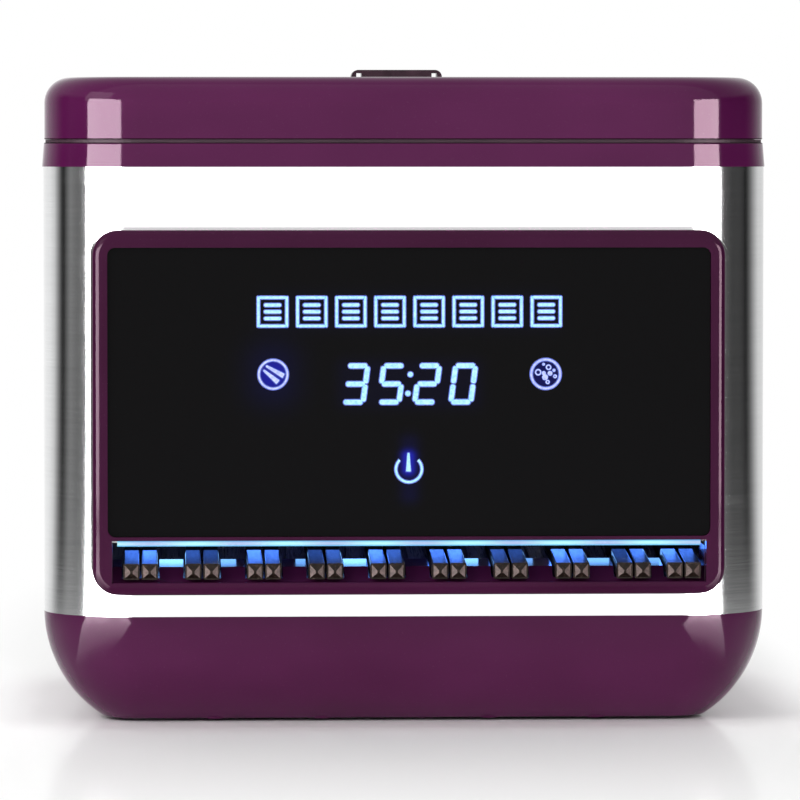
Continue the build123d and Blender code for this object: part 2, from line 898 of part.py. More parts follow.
shaft_z = floor_z(shaft_y) - shaft_drop
slot_fall = hopper_floor + paddle_reach * tan(radians(slope))
slot_half = sqrt(paddle_reach**2 - (shaft_drop - slot_fall) ** 2) + paddle_slot_play
slot_width = paddle_thickness + 2 * paddle_slot_play
hopper_half = hopper_width / 2
floor_front = ahead(comb_back) + fit_gap
flange_top = wrap_top
with BuildPart() as hopper:
    inner_front = hopper_front + hopper_wall
    inner_back = hopper_rear - hopper_wall
    with BuildSketch(side(-hopper_half - hopper_wall)):
        Polygon(
            (hopper_front, floor_z(hopper_front) - hopper_floor),
            (hopper_rear, floor_z(hopper_rear) - hopper_floor),
            (hopper_rear, flange_top),
            (hopper_front, flange_top),
            align=None,
        )
    extrude(amount=hopper_width + 2 * hopper_wall)
    with BuildSketch(side(-hopper_half)):
        Polygon(
            (inner_front, floor_z(inner_front)),
            (inner_back, floor_z(inner_back)),
            (inner_back, flange_top),
            (inner_front, flange_top),
            align=None,
        )
    extrude(amount=hopper_width, mode=Mode.SUBTRACT)
    # way out to the mouth
    with BuildSketch(side(-hopper_half)):
        Polygon(
            (hopper_front - hopper_wall, floor_z(hopper_front) - 3 * hopper_floor),
            (floor_front, floor_z(floor_front) - 3 * hopper_floor),
            (floor_front, floor_z(inner_front) + hopper_exit),
            (hopper_front - hopper_wall, floor_z(inner_front) + hopper_exit),
            align=None,
        )
    extrude(amount=hopper_width, mode=Mode.SUBTRACT)
    # ribs that part the bays
    with BuildSketch(floor_plane):
        rib_start = (floor_front - floor_origin) / cos(radians(slope)) + fit_gap
        rib_end = (inner_back - floor_origin) / cos(radians(slope))
        for rib_x in rib_xs:
            with Locations((rib_x, (rib_start + rib_end) / 2)):
                Rectangle(rib_width, rib_end - rib_start)
    extrude(amount=rib_height)
    # lugs that carry the shaft
    for lug_x in (-hopper_half - hopper_wall, hopper_half + hopper_wall - lug_thickness):
        with BuildSketch(side(lug_x)):
            Polygon(
                (shaft_y - lug_half_width, floor_z(shaft_y - lug_half_width) - hopper_floor / 2),
                (shaft_y - lug_half_width, shaft_z),
                (shaft_y - lug_half_width / 2, shaft_z - lug_drop),
                (shaft_y + lug_half_width / 2, shaft_z - lug_drop),
                (shaft_y + lug_half_width, shaft_z),
                (shaft_y + lug_half_width, floor_z(shaft_y + lug_half_width) - hopper_floor / 2),
                align=None,
            )
            with Locations((shaft_y, shaft_z)):
                Circle(bearing_radius + face_gap / 2, mode=Mode.SUBTRACT)
        extrude(amount=lug_thickness)
    # slots for the paddles
    with BuildSketch(Plane.XY.offset(shaft_z)):
        for rib_x in rib_xs:
            with Locations((rib_x, shaft_y)):
                Rectangle(slot_width, 2 * slot_half)
    extrude(amount=2 * shaft_drop, mode=Mode.SUBTRACT)
    # flange that hangs the hopper under the collar
    with BuildSketch(level(flange_top - hopper_flange_sheet)):
        with Locations((0, hopper_mid)):
            RectangleRounded(
                hopper_width + 2 * hopper_flange, hopper_length + 2 * hopper_flange, hopper_flange_radius
            )
            Rectangle(hopper_width, hopper_length, mode=Mode.SUBTRACT)
    extrude(amount=hopper_flange_sheet)
    # window for the lamp, air slots for the heater, hole for the ozone spout
    with BuildSketch(upright(hopper_rear + hopper_wall)):
        with Locations((0, lamp_height)):
            SlotOverall(lamp_length, lamp_window_height)
        with Locations((fan_x, fan_height)):
            with GridLocations(0, vent_pitch, 1, vent_count - 2):
                SlotOverall(fan_side - 2 * vent_slot, vent_slot)
        with Locations((ozone_x, fan_height)):
            Circle(ozone_spout + face_gap)
    extrude(amount=3 * hopper_wall, mode=Mode.SUBTRACT)
save(hopper.part, "hopper")


# ---- Stirrer ------------------------------------------------------------------------------------

with BuildPart() as agitator_shaft:
    with BuildSketch(side(-lug_outer - bearing_flange_sheet)):
        with Locations((shaft_y, shaft_z)):
            Circle(shaft_radius)
    extrude(amount=lug_outer + bearing_flange_sheet + gear_end + shaft_stub)
save(agitator_shaft.part, "agitator_shaft")

with BuildPart() as shaft_bearings:
    for bearing_x, outward in ((-lug_outer, -1), (lug_outer, 1)):
        with BuildSketch(side(bearing_x)):
            with Locations((shaft_y, shaft_z)):
                Circle(bearing_flange)
                Circle(shaft_radius + running_play, mode=Mode.SUBTRACT)
        extrude(amount=outward * bearing_flange_sheet)
        with BuildSketch(side(bearing_x)):
            with Locations((shaft_y, shaft_z)):
                Circle(bearing_radius)
                Circle(shaft_radius + running_play, mode=Mode.SUBTRACT)
        extrude(amount=-outward * lug_thickness)
save(shaft_bearings.part, "shaft_bearings")

sleeve_half = lug_outer - lug_thickness - 2 * paddle_slot_play
with BuildPart() as agitator_paddles:
    with BuildSketch(side(-sleeve_half)):
        with Locations((shaft_y, shaft_z)):
            Circle(sleeve_radius)
    extrude(amount=2 * sleeve_half)
    for rib_x in rib_xs:
        with BuildSketch(side(rib_x - paddle_thickness / 2)):
            with Locations((shaft_y, shaft_z)):
                Circle(paddle_root)
                with Locations(
                    (paddle_reach - paddle_tip_radius, 0), (paddle_tip_radius - paddle_reach, 0)
                ):
                    Circle(paddle_tip_radius)
                Rectangle(2 * (paddle_reach - paddle_tip_radius), 2 * paddle_tip_radius)
        extrude(amount=paddle_thickness)
    with BuildSketch(side(-sleeve_half)):
        with Locations((shaft_y, shaft_z)):
            Circle(shaft_radius + press_play)
    extrude(amount=2 * sleeve_half, mode=Mode.SUBTRACT)
save(agitator_paddles.part, "agitator_paddles")


# ---- Gear pair and motor ------------------------------------------------------------------------

gear_radius = gear_module * gear_teeth / 2
pinion_radius = gear_module * pinion_teeth / 2
gear_distance = gear_radius + pinion_radius
pinion_y = shaft_y + gear_distance * cos(radians(drive_angle))
pinion_z = shaft_z + gear_distance * sin(radians(drive_angle))


def toothed(teeth, pitch_radius, first_angle):
    """Outline of a spur wheel with one tooth's middle at first_angle."""
    Circle(pitch_radius - tooth_foot)
    with PolarLocations(0, teeth, start_angle=first_angle):
        Polygon(
            (pitch_radius - 2 * tooth_foot, -tooth_root_half),
            (pitch_radius - tooth_foot / 2, -tooth_flank_half),
            (pitch_radius, -tooth_pitch_half),
            (pitch_radius + tooth_top, -tooth_tip_half),
            (pitch_radius + tooth_top, tooth_tip_half),
            (pitch_radius, tooth_pitch_half),
            (pitch_radius - tooth_foot / 2, tooth_flank_half),
            (pitch_radius - 2 * tooth_foot, tooth_root_half),
            align=None,
        )


with BuildPart() as agitator_gear:
    with BuildSketch(Plane((gear_start, shaft_y, shaft_z), x_dir=(0, 1, 0), z_dir=(1, 0, 0))):
        toothed(gear_teeth, gear_radius, drive_angle)
    extrude(amount=gear_face)
    # recess between rim and hub on the outer face, and lightening holes through the web
    with BuildSketch(
        Plane((gear_start + gear_web, shaft_y, shaft_z), x_dir=(0, 1, 0), z_dir=(1, 0, 0))
    ):
        Circle(gear_radius - tooth_foot - gear_rim)
        Circle(gear_hub_radius, mode=Mode.SUBTRACT)
    extrude(amount=gear_face, mode=Mode.SUBTRACT)
    with BuildSketch(Plane((gear_start, shaft_y, shaft_z), x_dir=(0, 1, 0), z_dir=(1, 0, 0))):
        Circle(shaft_radius + press_play)
        with PolarLocations((gear_radius - gear_rim + gear_hub_radius) / 2, gear_hole_count):
            Circle(gear_rim)
    extrude(amount=gear_face, mode=Mode.SUBTRACT)
save(agitator_gear.part, "agitator_gear")

pinion_phase = drive_angle + 180 + 180 / pinion_teeth
with BuildPart() as motor_pinion:
    with BuildSketch(Plane((gear_start, pinion_y, pinion_z), x_dir=(0, 1, 0), z_dir=(1, 0, 0))):
        toothed(pinion_teeth, pinion_radius, pinion_phase)
        Circle(motor_shaft_radius + press_play, mode=Mode.SUBTRACT)
    extrude(amount=gear_face)
save(motor_pinion.part, "motor_pinion")

with BuildPart() as motor_shaft:
    with BuildSketch(side(bracket_face + motor_boss_length)):
        with Locations((pinion_y, pinion_z)):
            Circle(motor_shaft_radius)
    extrude(amount=gear_end - bracket_face - motor_boss_length + shaft_stub / 2)
save(motor_shaft.part, "motor_shaft")

with BuildPart() as gear_motor:
    with BuildSketch(side(bracket_face - bracket_sheet)):
        with Locations((pinion_y, pinion_z)):
            Circle(gearbox_radius)
    extrude(amount=-gearbox_length)
    with BuildSketch(side(bracket_face - bracket_sheet - gearbox_length)):
        with Locations((pinion_y, pinion_z)):
            Circle(can_radius)
    extrude(amount=-can_length)
    chamfer(gear_motor.faces().sort_by(Axis.X)[0].edges(), can_chamfer)
    with BuildSketch(side(bracket_face - bracket_sheet)):
        with Locations((pinion_y, pinion_z)):
            Circle(motor_boss_radius)
    extrude(amount=bracket_sheet + motor_boss_length - fit_gap)
save(gear_motor.part, "gear_motor")

with BuildPart() as motor_bracket:
    bracket_top = pinion_z + gearbox_radius
    with BuildSketch(side(bracket_face)):
        with Locations((pinion_y, (tub_floor + bracket_top) / 2)):
            RectangleRounded(bracket_width, bracket_top - tub_floor, bracket_corner)
        with Locations((pinion_y, tub_floor)):
            Rectangle(bracket_width, 2 * bracket_corner, align=(Align.CENTER, Align.MIN))
        with Locations((pinion_y, pinion_z)):
            Circle(motor_boss_radius + face_gap, mode=Mode.SUBTRACT)
    extrude(amount=-bracket_sheet)
    with BuildSketch(Plane.XY.offset(tub_floor)):
        with Locations((bracket_face - bracket_foot / 2, pinion_y)):
            Rectangle(bracket_foot, bracket_width)
    extrude(amount=bracket_sheet)
save(motor_bracket.part, "motor_bracket")


# ---- Lamp ---------------------------------------------------------------------------------------

lamp_y = hopper_rear + lamp_cap_radius + fit_gap
with BuildPart() as uv_lamp_tube:
    with BuildSketch(side(-lamp_length / 2)):
        with Locations((lamp_y, lamp_height)):
            Circle(lamp_radius)
    extrude(amount=lamp_length)
save(uv_lamp_tube.part, "uv_lamp_tube")

with BuildPart() as uv_lamp_caps:
    for cap_x in (-lamp_length / 2 - lamp_cap_length, lamp_length / 2):
        with BuildSketch(side(cap_x)):
            with Locations((lamp_y, lamp_height)):
                Circle(lamp_cap_radius)
        extrude(amount=lamp_cap_length)
save(uv_lamp_caps.part, "uv_lamp_caps")

holder_depth = inner_rear - hopper_rear - fit_gap
with BuildPart() as lamp_holders:
    for holder_x in (-lamp_length / 2 - lamp_cap_length - holder_length, lamp_length / 2 + lamp_cap_length):
        with BuildSketch(side(holder_x)):
            with Locations((hopper_rear + holder_depth / 2, lamp_height)):
                RectangleRounded(holder_depth, holder_height, box_round)
        extrude(amount=holder_length)
save(lamp_holders.part, "lamp_holders")


# ---- Air ----------------------------------------------------------------------------------------

fan_front = inner_rear - fan_thickness
fan_grip = Plane((fan_x, inner_rear, fan_height), x_dir=(1, 0, 0), z_dir=(0, -1, 0))
with BuildPart() as fan_housing:
    with BuildSketch(fan_grip):
        RectangleRounded(fan_side, fan_side, fan_corner)
        Circle(fan_bore, mode=Mode.SUBTRACT)
    extrude(amount=fan_thickness)
    # spider behind the rotor, with its pin
    with BuildSketch(fan_grip):
        Circle(fan_hub)
        with PolarLocations(0, 4, start_angle=45):
            with Locations((fan_bore / 2, 0)):
                Rectangle(fan_bore + fan_tip_play, fan_spider)
    extrude(amount=fan_spider)
    with BuildSketch(fan_grip.offset(fan_spider)):
        Circle(fan_pin_radius)
    extrude(amount=fan_pin_length)
save(fan_housing.part, "fan_housing")

rotor_plane = fan_grip.offset(fan_spider + fit_gap)
rotor_length = fan_thickness - fan_spider - 3 * fit_gap
with BuildPart() as fan_rotor:
    with BuildSketch(rotor_plane):
        Circle(fan_hub)
    extrude(amount=rotor_length)
    blade_length = fan_bore - fan_tip_play - fan_blade_root
    blade_chord = (rotor_length - 3 * fit_gap) / sin(radians(fan_blade_angle))
    for blade in range(fan_blades):
        turn = radians(360 / fan_blades * blade)
        blade_plane = Plane(
            rotor_plane.offset(rotor_length / 2).from_local_coords(
                Vector(fan_blade_root * cos(turn), fan_blade_root * sin(turn), 0)
            ),
            x_dir=(0, 1, 0),
            z_dir=(cos(turn), 0, sin(turn)),
        )
        with BuildSketch(blade_plane):
            Rectangle(blade_chord, fan_blade_sheet, rotation=90 - fan_blade_angle)
        extrude(amount=blade_length)
    with BuildSketch(rotor_plane):
        Circle(fan_pin_radius + running_play)
    extrude(amount=fan_pin_length + fit_gap, mode=Mode.SUBTRACT)
save(fan_rotor.part, "fan_rotor")

with BuildPart() as ptc_heater:
    heater_plane = Plane((fan_x, fan_front, fan_height), x_dir=(1, 0, 0), z_dir=(0, -1, 0))
    heater_depth = fan_front - hopper_rear
    with BuildSketch(heater_plane):
        Rectangle(fan_side, fan_side)
        Rectangle(fan_side - 2 * heater_frame, fan_side - 2 * heater_frame, mode=Mode.SUBTRACT)
        with GridLocations((fan_side - 2 * heater_frame) / heater_fin_count, 0, heater_fin_count, 1):
            Rectangle(heater_fin, fan_side - heater_frame)
    extrude(amount=heater_depth)
save(ptc_heater.part, "ptc_heater")

with BuildPart() as ozone_module:
    with BuildSketch(upright(hopper_rear + ozone_depth)):
        with Locations((ozone_x, fan_height)):
            RectangleRounded(ozone_width, ozone_height, box_round)
    extrude(amount=ozone_depth)
    with BuildSketch(upright(hopper_rear)):
        with Locations((ozone_x, fan_height)):
            Circle(ozone_spout)
            Circle(ozone_spout - hopper_wall, mode=Mode.SUBTRACT)
    extrude(amount=2 * hopper_wall)
save(ozone_module.part, "ozone_module")


# ---- Electrics in the base ----------------------------------------------------------------------

cover_top = base_lift + cover_sheet
with BuildPart() as board_standoffs:
    with BuildSketch(level(cover_top)):
        with Locations((main_board_x, 0)):
            with GridLocations(
                main_board_width - 2 * standoff_inset, main_board_depth - 2 * standoff_inset, 2, 2
            ):
                Circle(standoff_radius)
    extrude(amount=standoff_height)
save(board_standoffs.part, "board_standoffs")

with BuildPart() as main_board:
    board_level = cover_top + standoff_height
    with BuildSketch(level(board_level)):
        with Locations((main_board_x, 0)):
            Rectangle(main_board_width, main_board_depth)
    extrude(amount=board_sheet)
    # transformer, capacitors and sockets
    with BuildSketch(level(board_level + board_sheet)):
        with Locations((main_board_x + transformer_x, transformer_y)):
            Rectangle(transformer_width, transformer_depth)
    extrude(amount=transformer_height)
    with BuildSketch(level(board_level + board_sheet)):
        with Locations((main_board_x + capacitor_x, capacitor_y)):
            with GridLocations(capacitor_pitch, 0, capacitor_count, 1):
                Circle(capacitor_radius)
    extrude(amount=capacitor_height)
    with BuildSketch(level(board_level + board_sheet)):
        with Locations((main_board_x, socket_size - main_board_depth / 2)):
            with GridLocations(socket_pitch, 0, socket_count, 1):
                Rectangle(socket_length, socket_size)
    extrude(amount=socket_size)
save(main_board.part, "main_board")

with BuildPart() as lamp_ballast:
    with BuildSketch(level(cover_top)):
        with Locations((ballast_x, 0)):
            RectangleRounded(ballast_width, ballast_length, box_round)
    extrude(amount=ballast_height)
    fillet(lamp_ballast.faces().sort_by(Axis.Z)[-1].edges(), collar_round)
save(lamp_ballast.part, "lamp_ballast")

with BuildPart() as cord_gland:
    with BuildSketch(upright(rear_face + gland_flange_depth)):
        with Locations((gland_x, gland_height)):
            Circle(gland_flange)
    extrude(amount=gland_flange_depth)
    with BuildSketch(upright(rear_face)):
        with Locations((gland_x, gland_height)):
            Circle(gland_sleeve)
    extrude(amount=sheet)
    with BuildSketch(upright(inner_rear)):
        with Locations((gland_x, gland_height)):
            RegularPolygon(gland_flange, 6)
    extrude(amount=gland_inner_depth)
    chamfer(cord_gland.faces().sort_by(Axis.Y)[-1].edges(), gland_chamfer)
    with BuildSketch(upright(rear_face + gland_flange_depth)):
        with Locations((gland_x, gland_height)):
            Circle(gland_bore)
    extrude(amount=gland_flange_depth + sheet + gland_inner_depth, mode=Mode.SUBTRACT)
save(cord_gland.part, "cord_gland")
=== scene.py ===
"""Dresses the counter-top chopstick sterilizer box: finishes, lit symbols, a seam bead and the studio.

Metres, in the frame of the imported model: +X right, +Y back, +Z up, the front of the machine faces -Y.
"""

import math

import bpy
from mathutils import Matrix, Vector


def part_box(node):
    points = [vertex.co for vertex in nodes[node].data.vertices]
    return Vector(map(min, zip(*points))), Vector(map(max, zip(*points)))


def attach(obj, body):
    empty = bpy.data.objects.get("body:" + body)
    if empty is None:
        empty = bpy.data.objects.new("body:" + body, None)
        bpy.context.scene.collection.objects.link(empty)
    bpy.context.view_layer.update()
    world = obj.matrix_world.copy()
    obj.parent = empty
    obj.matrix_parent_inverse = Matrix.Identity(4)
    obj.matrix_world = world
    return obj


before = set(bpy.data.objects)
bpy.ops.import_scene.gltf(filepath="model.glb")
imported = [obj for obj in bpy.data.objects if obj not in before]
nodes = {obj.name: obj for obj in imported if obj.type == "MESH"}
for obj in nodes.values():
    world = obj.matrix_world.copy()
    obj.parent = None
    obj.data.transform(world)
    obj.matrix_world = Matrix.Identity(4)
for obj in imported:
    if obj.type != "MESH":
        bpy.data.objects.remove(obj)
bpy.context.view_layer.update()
bpy.ops.object.select_all(action="DESELECT")

# ---- Purple tub, collar, lid and bezel ----------------------------------------------------------
# The outer shells are injection-moulded in a mass-coloured purple ABS and polished to a high gloss.
# The skin has a faint orange peel from the mould, soft flow shading and a few hairline wipe marks.


class Field:
    """A shader socket that Python expressions can be written on."""

    def __init__(self, finish, socket):
        self.finish, self.socket = finish, socket

    def __add__(self, other):
        return self.finish.math("ADD", self, other)

    def __sub__(self, other):
        return self.finish.math("SUBTRACT", self, other)

    def __mul__(self, other):
        return self.finish.math("MULTIPLY", self, other)

    def __truediv__(self, other):
        return self.finish.math("DIVIDE", self, other)

    def __rsub__(self, other):
        return self.finish.math("SUBTRACT", other, self)

    def __abs__(self):
        return self.finish.math("ABSOLUTE", self, 0.0)

    __radd__, __rmul__ = __add__, __mul__


class Finish:
    """One surface finish: a material, or the world, whose shader is fed by named sockets."""

    def __init__(self, name, sockets, holder=None, shader="Principled BSDF"):
        self.material = holder or bpy.data.materials.new(name)
        self.material.use_nodes = True
        self.tree = self.material.node_tree
        self.shader = self.tree.nodes[shader]
        self.feed(self.shader, sockets)

    def feed(self, target, sockets):
        for key, value in sockets.items():
            if isinstance(value, Field):
                self.tree.links.new(value.socket, target.inputs[key])
            elif isinstance(value, tuple) and len(value) == 3 and target.inputs[key].type == "RGBA":
                target.inputs[key].default_value = (*value, 1.0)
            else:
                target.inputs[key].default_value = value

    def node(self, kind, settings, sockets, out=0):
        made = self.tree.nodes.new(kind)
        for key, value in settings.items():
            if key == "stops":
                while len(made.color_ramp.elements) < len(value):
                    made.color_ramp.elements.new(0.5)
                for element, (place, level) in zip(made.color_ramp.elements, value):
                    element.position, element.color = place, (level, level, level, 1.0)
            else:
                setattr(made, key, value)
        self.feed(made, sockets)
        return Field(self, made.outputs[out])

    def math(self, operation, first, second):
        return self.node("ShaderNodeMath", {"operation": operation}, {0: first, 1: second})

    def place(self, scale=(1.0, 1.0, 1.0), turn=(0.0, 0.0, 0.0)):
        """The point on the piece, in metres of the model's frame, stretched and turned."""
        point = self.node("ShaderNodeTexCoord", {}, {}, "Object")
        sockets = {"Vector": point, "Scale": scale, "Rotation": turn}
        return self.node("ShaderNodeMapping", {}, sockets)

    def speckle(self, where, size, detail=2.0, low=0.35, high=0.65):
        """Cloudy noise from 0 to 1 whose patches are about that size, in metres of the place given."""
        sockets = {"Vector": where, "Scale": 1.0 / size, "Detail": detail, "Roughness": 0.55}
        cloud = self.node("ShaderNodeTexNoise", {}, sockets)
        limits = {"Value": cloud, "From Min": low, "From Max": high}
        return self.node("ShaderNodeMapRange", {}, limits)

    def blend(self, mask, low, high):
        sockets = {"Factor": mask, 6: low, 7: high}
        return self.node("ShaderNodeMix", {"data_type": "RGBA"}, sockets, 2)

    def relief(self, height, strength, distance):
        sockets = {"Height": height, "Strength": strength, "Distance": distance}
        return self.node("ShaderNodeBump", {}, sockets)

    def wear(self, sockets):
        """Feeds the shader itself."""
        self.feed(self.shader, sockets)

    def show(self, whole, output="Material Output"):
        """Makes that shader, and not the plain one, the surface that is seen."""
        self.tree.links.new(whole.socket, self.tree.nodes[output].inputs["Surface"])

    def dress(self, *names):
        for name in names:
            for held in nodes[name].material_slots:
                held.material = self.material


gloss_tint = (1.0, 0.74, 0.88)
dust_grey = (0.30, 0.22, 0.28)

# Painted shade: the two edges that meet under the lid are turned matt and near-black within this reach of
# the seam's middle, where the gap lies in shadow.
lid_low, lid_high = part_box("lid")
rim_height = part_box("collar")[1].z
seam_height = (lid_low.z + rim_height) / 2
seam_reach = 0.0012
painted_seam_shade = (0.014, 0.003, 0.008)

for name, shine, deep, pale, pieces in (
    (
        "purple_gloss",
        0.13,
        (0.066, 0.0050, 0.046),
        (0.085, 0.0082, 0.060),
        ("collar", "lid", "hinge_bracket_left", "hinge_bracket_right"),
    ),
    ("tub_gloss", 0.13, (0.053, 0.0078, 0.037), (0.068, 0.0108, 0.049), ("base_tub",)),
    ("bezel_gloss", 0.075, (0.034, 0.0034, 0.022), (0.044, 0.0054, 0.030), ("bezel",)),
):
    gloss = Finish(name, {"Specular IOR Level": shine, "Specular Tint": gloss_tint})
    flow = gloss.speckle(gloss.place((1.0, 1.0, 2.2)), 0.09, 2.0, 0.3, 0.7)
    peel = gloss.speckle(gloss.place(), 0.0028, 1.0, 0.2, 0.8)
    wipe = gloss.speckle(gloss.place((6.0, 6.0, 90.0), (0.0, 0.5, 0.3)), 0.12, 3.0, 0.62, 0.72)
    dust = gloss.speckle(gloss.place(), 0.0009, 0.0, 0.76, 0.82)
    gloss.wear(
        {
            "Base Color": gloss.blend(dust * 0.03, gloss.blend(flow, deep, pale), dust_grey),
            "Roughness": 0.06 + flow * 0.015 + wipe * 0.03 + dust * 0.05,
            "Normal": gloss.relief(peel, 0.04, 0.00003),
        }
    )
    height = gloss.node("ShaderNodeSeparateXYZ", {}, {0: gloss.place()}, 2)
    # Painted shade in the seam: a narrow band of matt near-black over the gloss.
    by_seam = gloss.math("LESS_THAN", abs(height - seam_height), seam_reach)
    seam_shade_bsdf = gloss.node("ShaderNodeBsdfDiffuse", {}, {"Color": painted_seam_shade})
    polished = Field(gloss, gloss.shader.outputs[0])
    gloss.show(gloss.node("ShaderNodeMixShader", {}, {0: by_seam, 1: polished, 2: seam_shade_bsdf}))
    gloss.dress(*pieces)

# ---- Steel wrap ---------------------------------------------------------------------------------
# One sheet of stainless steel bent round the housing and joined at the back. It is belt-brushed
# along its length, so fine level lines run round it, and it has a few handling rubs.

steel = Finish("steel", {"Metallic": 1.0, "Anisotropic": 0.9, "Anisotropic Rotation": 0.25})
brushing = steel.speckle(steel.place((1.0, 1.0, 110.0)), 0.045, 5.0, 0.3, 0.7)
bands = steel.speckle(steel.place((1.0, 1.0, 14.0)), 0.16, 2.0, 0.3, 0.7)
rubs = steel.speckle(steel.place((1.0, 1.0, 3.0), (0.0, 0.15, 0.0)), 0.05, 3.0, 0.6, 0.75)
steel.wear(
    {
        "Base Color": steel.blend(brushing * 0.7 + bands * 0.3, (0.62, 0.625, 0.63), (0.70, 0.705, 0.71)),
        "Roughness": 0.12 + brushing * 0.03 + rubs * 0.03,
        "Normal": steel.relief(brushing, 0.08, 0.00002),
    }
)
steel.dress("steel_wrap")

# ---- Hopper -------------------------------------------------------------------------------------
# The stick bin is folded from bright stainless sheet with a fine rolled grain, and hangs by its
# flange under the collar. It shows slide marks where the sticks run down to the bays.

bin_steel = Finish("hopper_steel", {"Metallic": 1.0})
rolled = bin_steel.speckle(bin_steel.place((60.0, 1.0, 1.0)), 0.03, 4.0, 0.3, 0.7)
slides = bin_steel.speckle(bin_steel.place((40.0, 1.0, 1.0)), 0.08, 3.0, 0.6, 0.7)
bin_steel.wear(
    {
        "Base Color": bin_steel.blend(rolled, (0.50, 0.505, 0.52), (0.64, 0.645, 0.66)),
        "Roughness": 0.24 + rolled * 0.1 + slides * 0.12,
        "Normal": bin_steel.relief(rolled, 0.1, 0.00003),
    }
)
bin_steel.dress("hopper")

# ---- Glass of the display -----------------------------------------------------------------------
# One pane of toughened glass, printed black behind, with clear windows where the lit symbols show.
# Stray light from the diodes leaves a dim blue cloud in the print round each symbol.

pane_low, pane_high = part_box("glass_panel")
pane_face = pane_low.y
symbol_row = 0.1937
clock_row = 0.1603
icon_row = 0.1648
power_row = 0.1209
icon_x = 0.0630

pane = Finish("black_glass", {"Specular IOR Level": 0.03, "Emission Strength": 1.0})
where = pane.node("ShaderNodeSeparateXYZ", {}, {0: pane.place()}, 0)
level = Field(pane, where.socket.node.outputs[2])


def cloud(x, z, half_width, half_height, reach, edge=1.0):
    """Light that falls off outwards from a flat window, as a number from 0 to 1."""
    across = pane.math("MAXIMUM", abs(where - x) - half_width, 0.0)
    along = pane.math("MAXIMUM", abs(level - z) - half_height, 0.0)
    away = (across * across + along * along) / (reach * reach)
    return pane.math("EXPONENT", pane.math("POWER", away, edge) * -1.0, 0.0)


# Middle across and up, half width and half height of the window, reach, edge and brightness
clouds = (
    (-icon_x, icon_row, 0.001, 0.004, 0.011, 1.0, 0.05),
    (0.0, power_row, 0.0005, 0.012, 0.004, 1.0, 0.05),
    (0.0, symbol_row, 0.066, 0.005, 0.005, 1.0, 0.012),
    (0.0, clock_row, 0.029, 0.007, 0.005, 1.0, 0.02),
    (-icon_x, icon_row, 0.0, 0.0, 0.0066, 5.0, 0.8),
    (icon_x, icon_row, 0.0, 0.0, 0.0066, 5.0, 0.22),
    (-0.0005, power_row + 0.0028, 0.0003, 0.0030, 0.0026, 1.0, 1.3),
)
glow = sum(cloud(*window) * brightness for *window, brightness in clouds)

# The rim of the pane is ground matt
ground_rim = 0.0014
pane_middle = (pane_low + pane_high) / 2
pane_half = (pane_high - pane_low) / 2
inner_width = pane_half.x - ground_rim
inner_height = pane_half.z - ground_rim
clear_glass = cloud(pane_middle.x, pane_middle.z, inner_width, inner_height, 0.0009)

smears = pane.speckle(pane.place((1.0, 1.0, 1.6), (0.0, 0.6, 0.0)), 0.03, 4.0, 0.58, 0.75)
specks = pane.speckle(pane.place(), 0.0008, 0.0, 0.76, 0.81)
pane.wear(
    {
        "Base Color": pane.blend(specks * 0.04, (0.0032, 0.0030, 0.0034), (0.10, 0.10, 0.11)),
        "Roughness": 0.03 + smears * 0.04 + (1.0 - clear_glass) * 0.1,
        "Emission Color": pane.blend(glow, (0.0, 0.0, 0.0), (0.010, 0.013, 0.36)),
    }
)
pane.dress("glass_panel")

# ---- Lit symbols --------------------------------------------------------------------------------
# Diodes behind the glass light windows in its print: a row of eight level cells, four clock digits,
# a stick symbol, a bubble symbol and a power symbol. Each has a bright core in a blue fringe.

unlit = {"Base Color": (0.0, 0.0, 0.0), "Roughness": 0.4, "Emission Strength": 1.0}
symbol_core = Finish("symbol_core", unlit)
die = symbol_core.speckle(symbol_core.place(), 0.0016, 2.0, 0.3, 0.7)
aside = symbol_core.node("ShaderNodeSeparateXYZ", {}, {0: symbol_core.place()}, 0)
height = Field(symbol_core, aside.socket.node.outputs[2])

# The stick and bubble symbols, out beside the clock, have violet diodes
violet_aside = 0.054
violet_top = 0.18
beyond = symbol_core.math("GREATER_THAN", abs(aside), violet_aside)
violet = beyond * symbol_core.math("LESS_THAN", height, violet_top)
cyan_die = symbol_core.blend(die, (0.20, 0.66, 1.0), (0.48, 0.92, 1.0))
violet_die = symbol_core.blend(die, (0.24, 0.32, 0.92), (0.50, 0.58, 1.0))
symbol_core.wear({"Emission Color": symbol_core.blend(violet, cyan_die, violet_die)})

symbol_fringe = Finish("symbol_fringe", unlit)
die = symbol_fringe.speckle(symbol_fringe.place(), 0.003, 2.0, 0.3, 0.7)
deep_blue = symbol_fringe.blend(die, (0.006, 0.045, 0.50), (0.012, 0.09, 0.72))
symbol_fringe.wear({"Emission Color": deep_blue})

# How much wider than the window each layer is, how far it stands proud of the glass, its finish
fringe_width = 0.00042
layers = ((0.0, 0.00012, symbol_core), (2 * fringe_width, 0.00006, symbol_fringe))


def stand(width, length, x, z, lean, proud, taper=1.0):
    """A round-ended window in the print, standing on the glass, that leans to the right."""
    bpy.ops.mesh.primitive_plane_add(size=1.0)
    window = bpy.context.object
    window.scale = (width, length, 1.0)
    bpy.ops.object.transform_apply(scale=True)
    for corner in window.data.vertices:
        if corner.co.y > 0:
            corner.co.x *= taper
    bpy.ops.object.mode_set(mode="EDIT")
    bpy.ops.mesh.select_all(action="SELECT")
    bpy.ops.mesh.bevel(offset=0.46 * width * taper, segments=4, affect="VERTICES")
    bpy.ops.mesh.extrude_region_move(TRANSFORM_OT_translate={"value": (0.0, 0.0, proud)})
    bpy.ops.mesh.select_all(action="SELECT")
    bpy.ops.mesh.normals_make_consistent(inside=False)
    bpy.ops.object.mode_set(mode="OBJECT")
    window.rotation_euler = (math.pi / 2, lean, 0.0)
    window.location = (x, pane_face, z)
    bpy.ops.object.transform_apply()
    return window


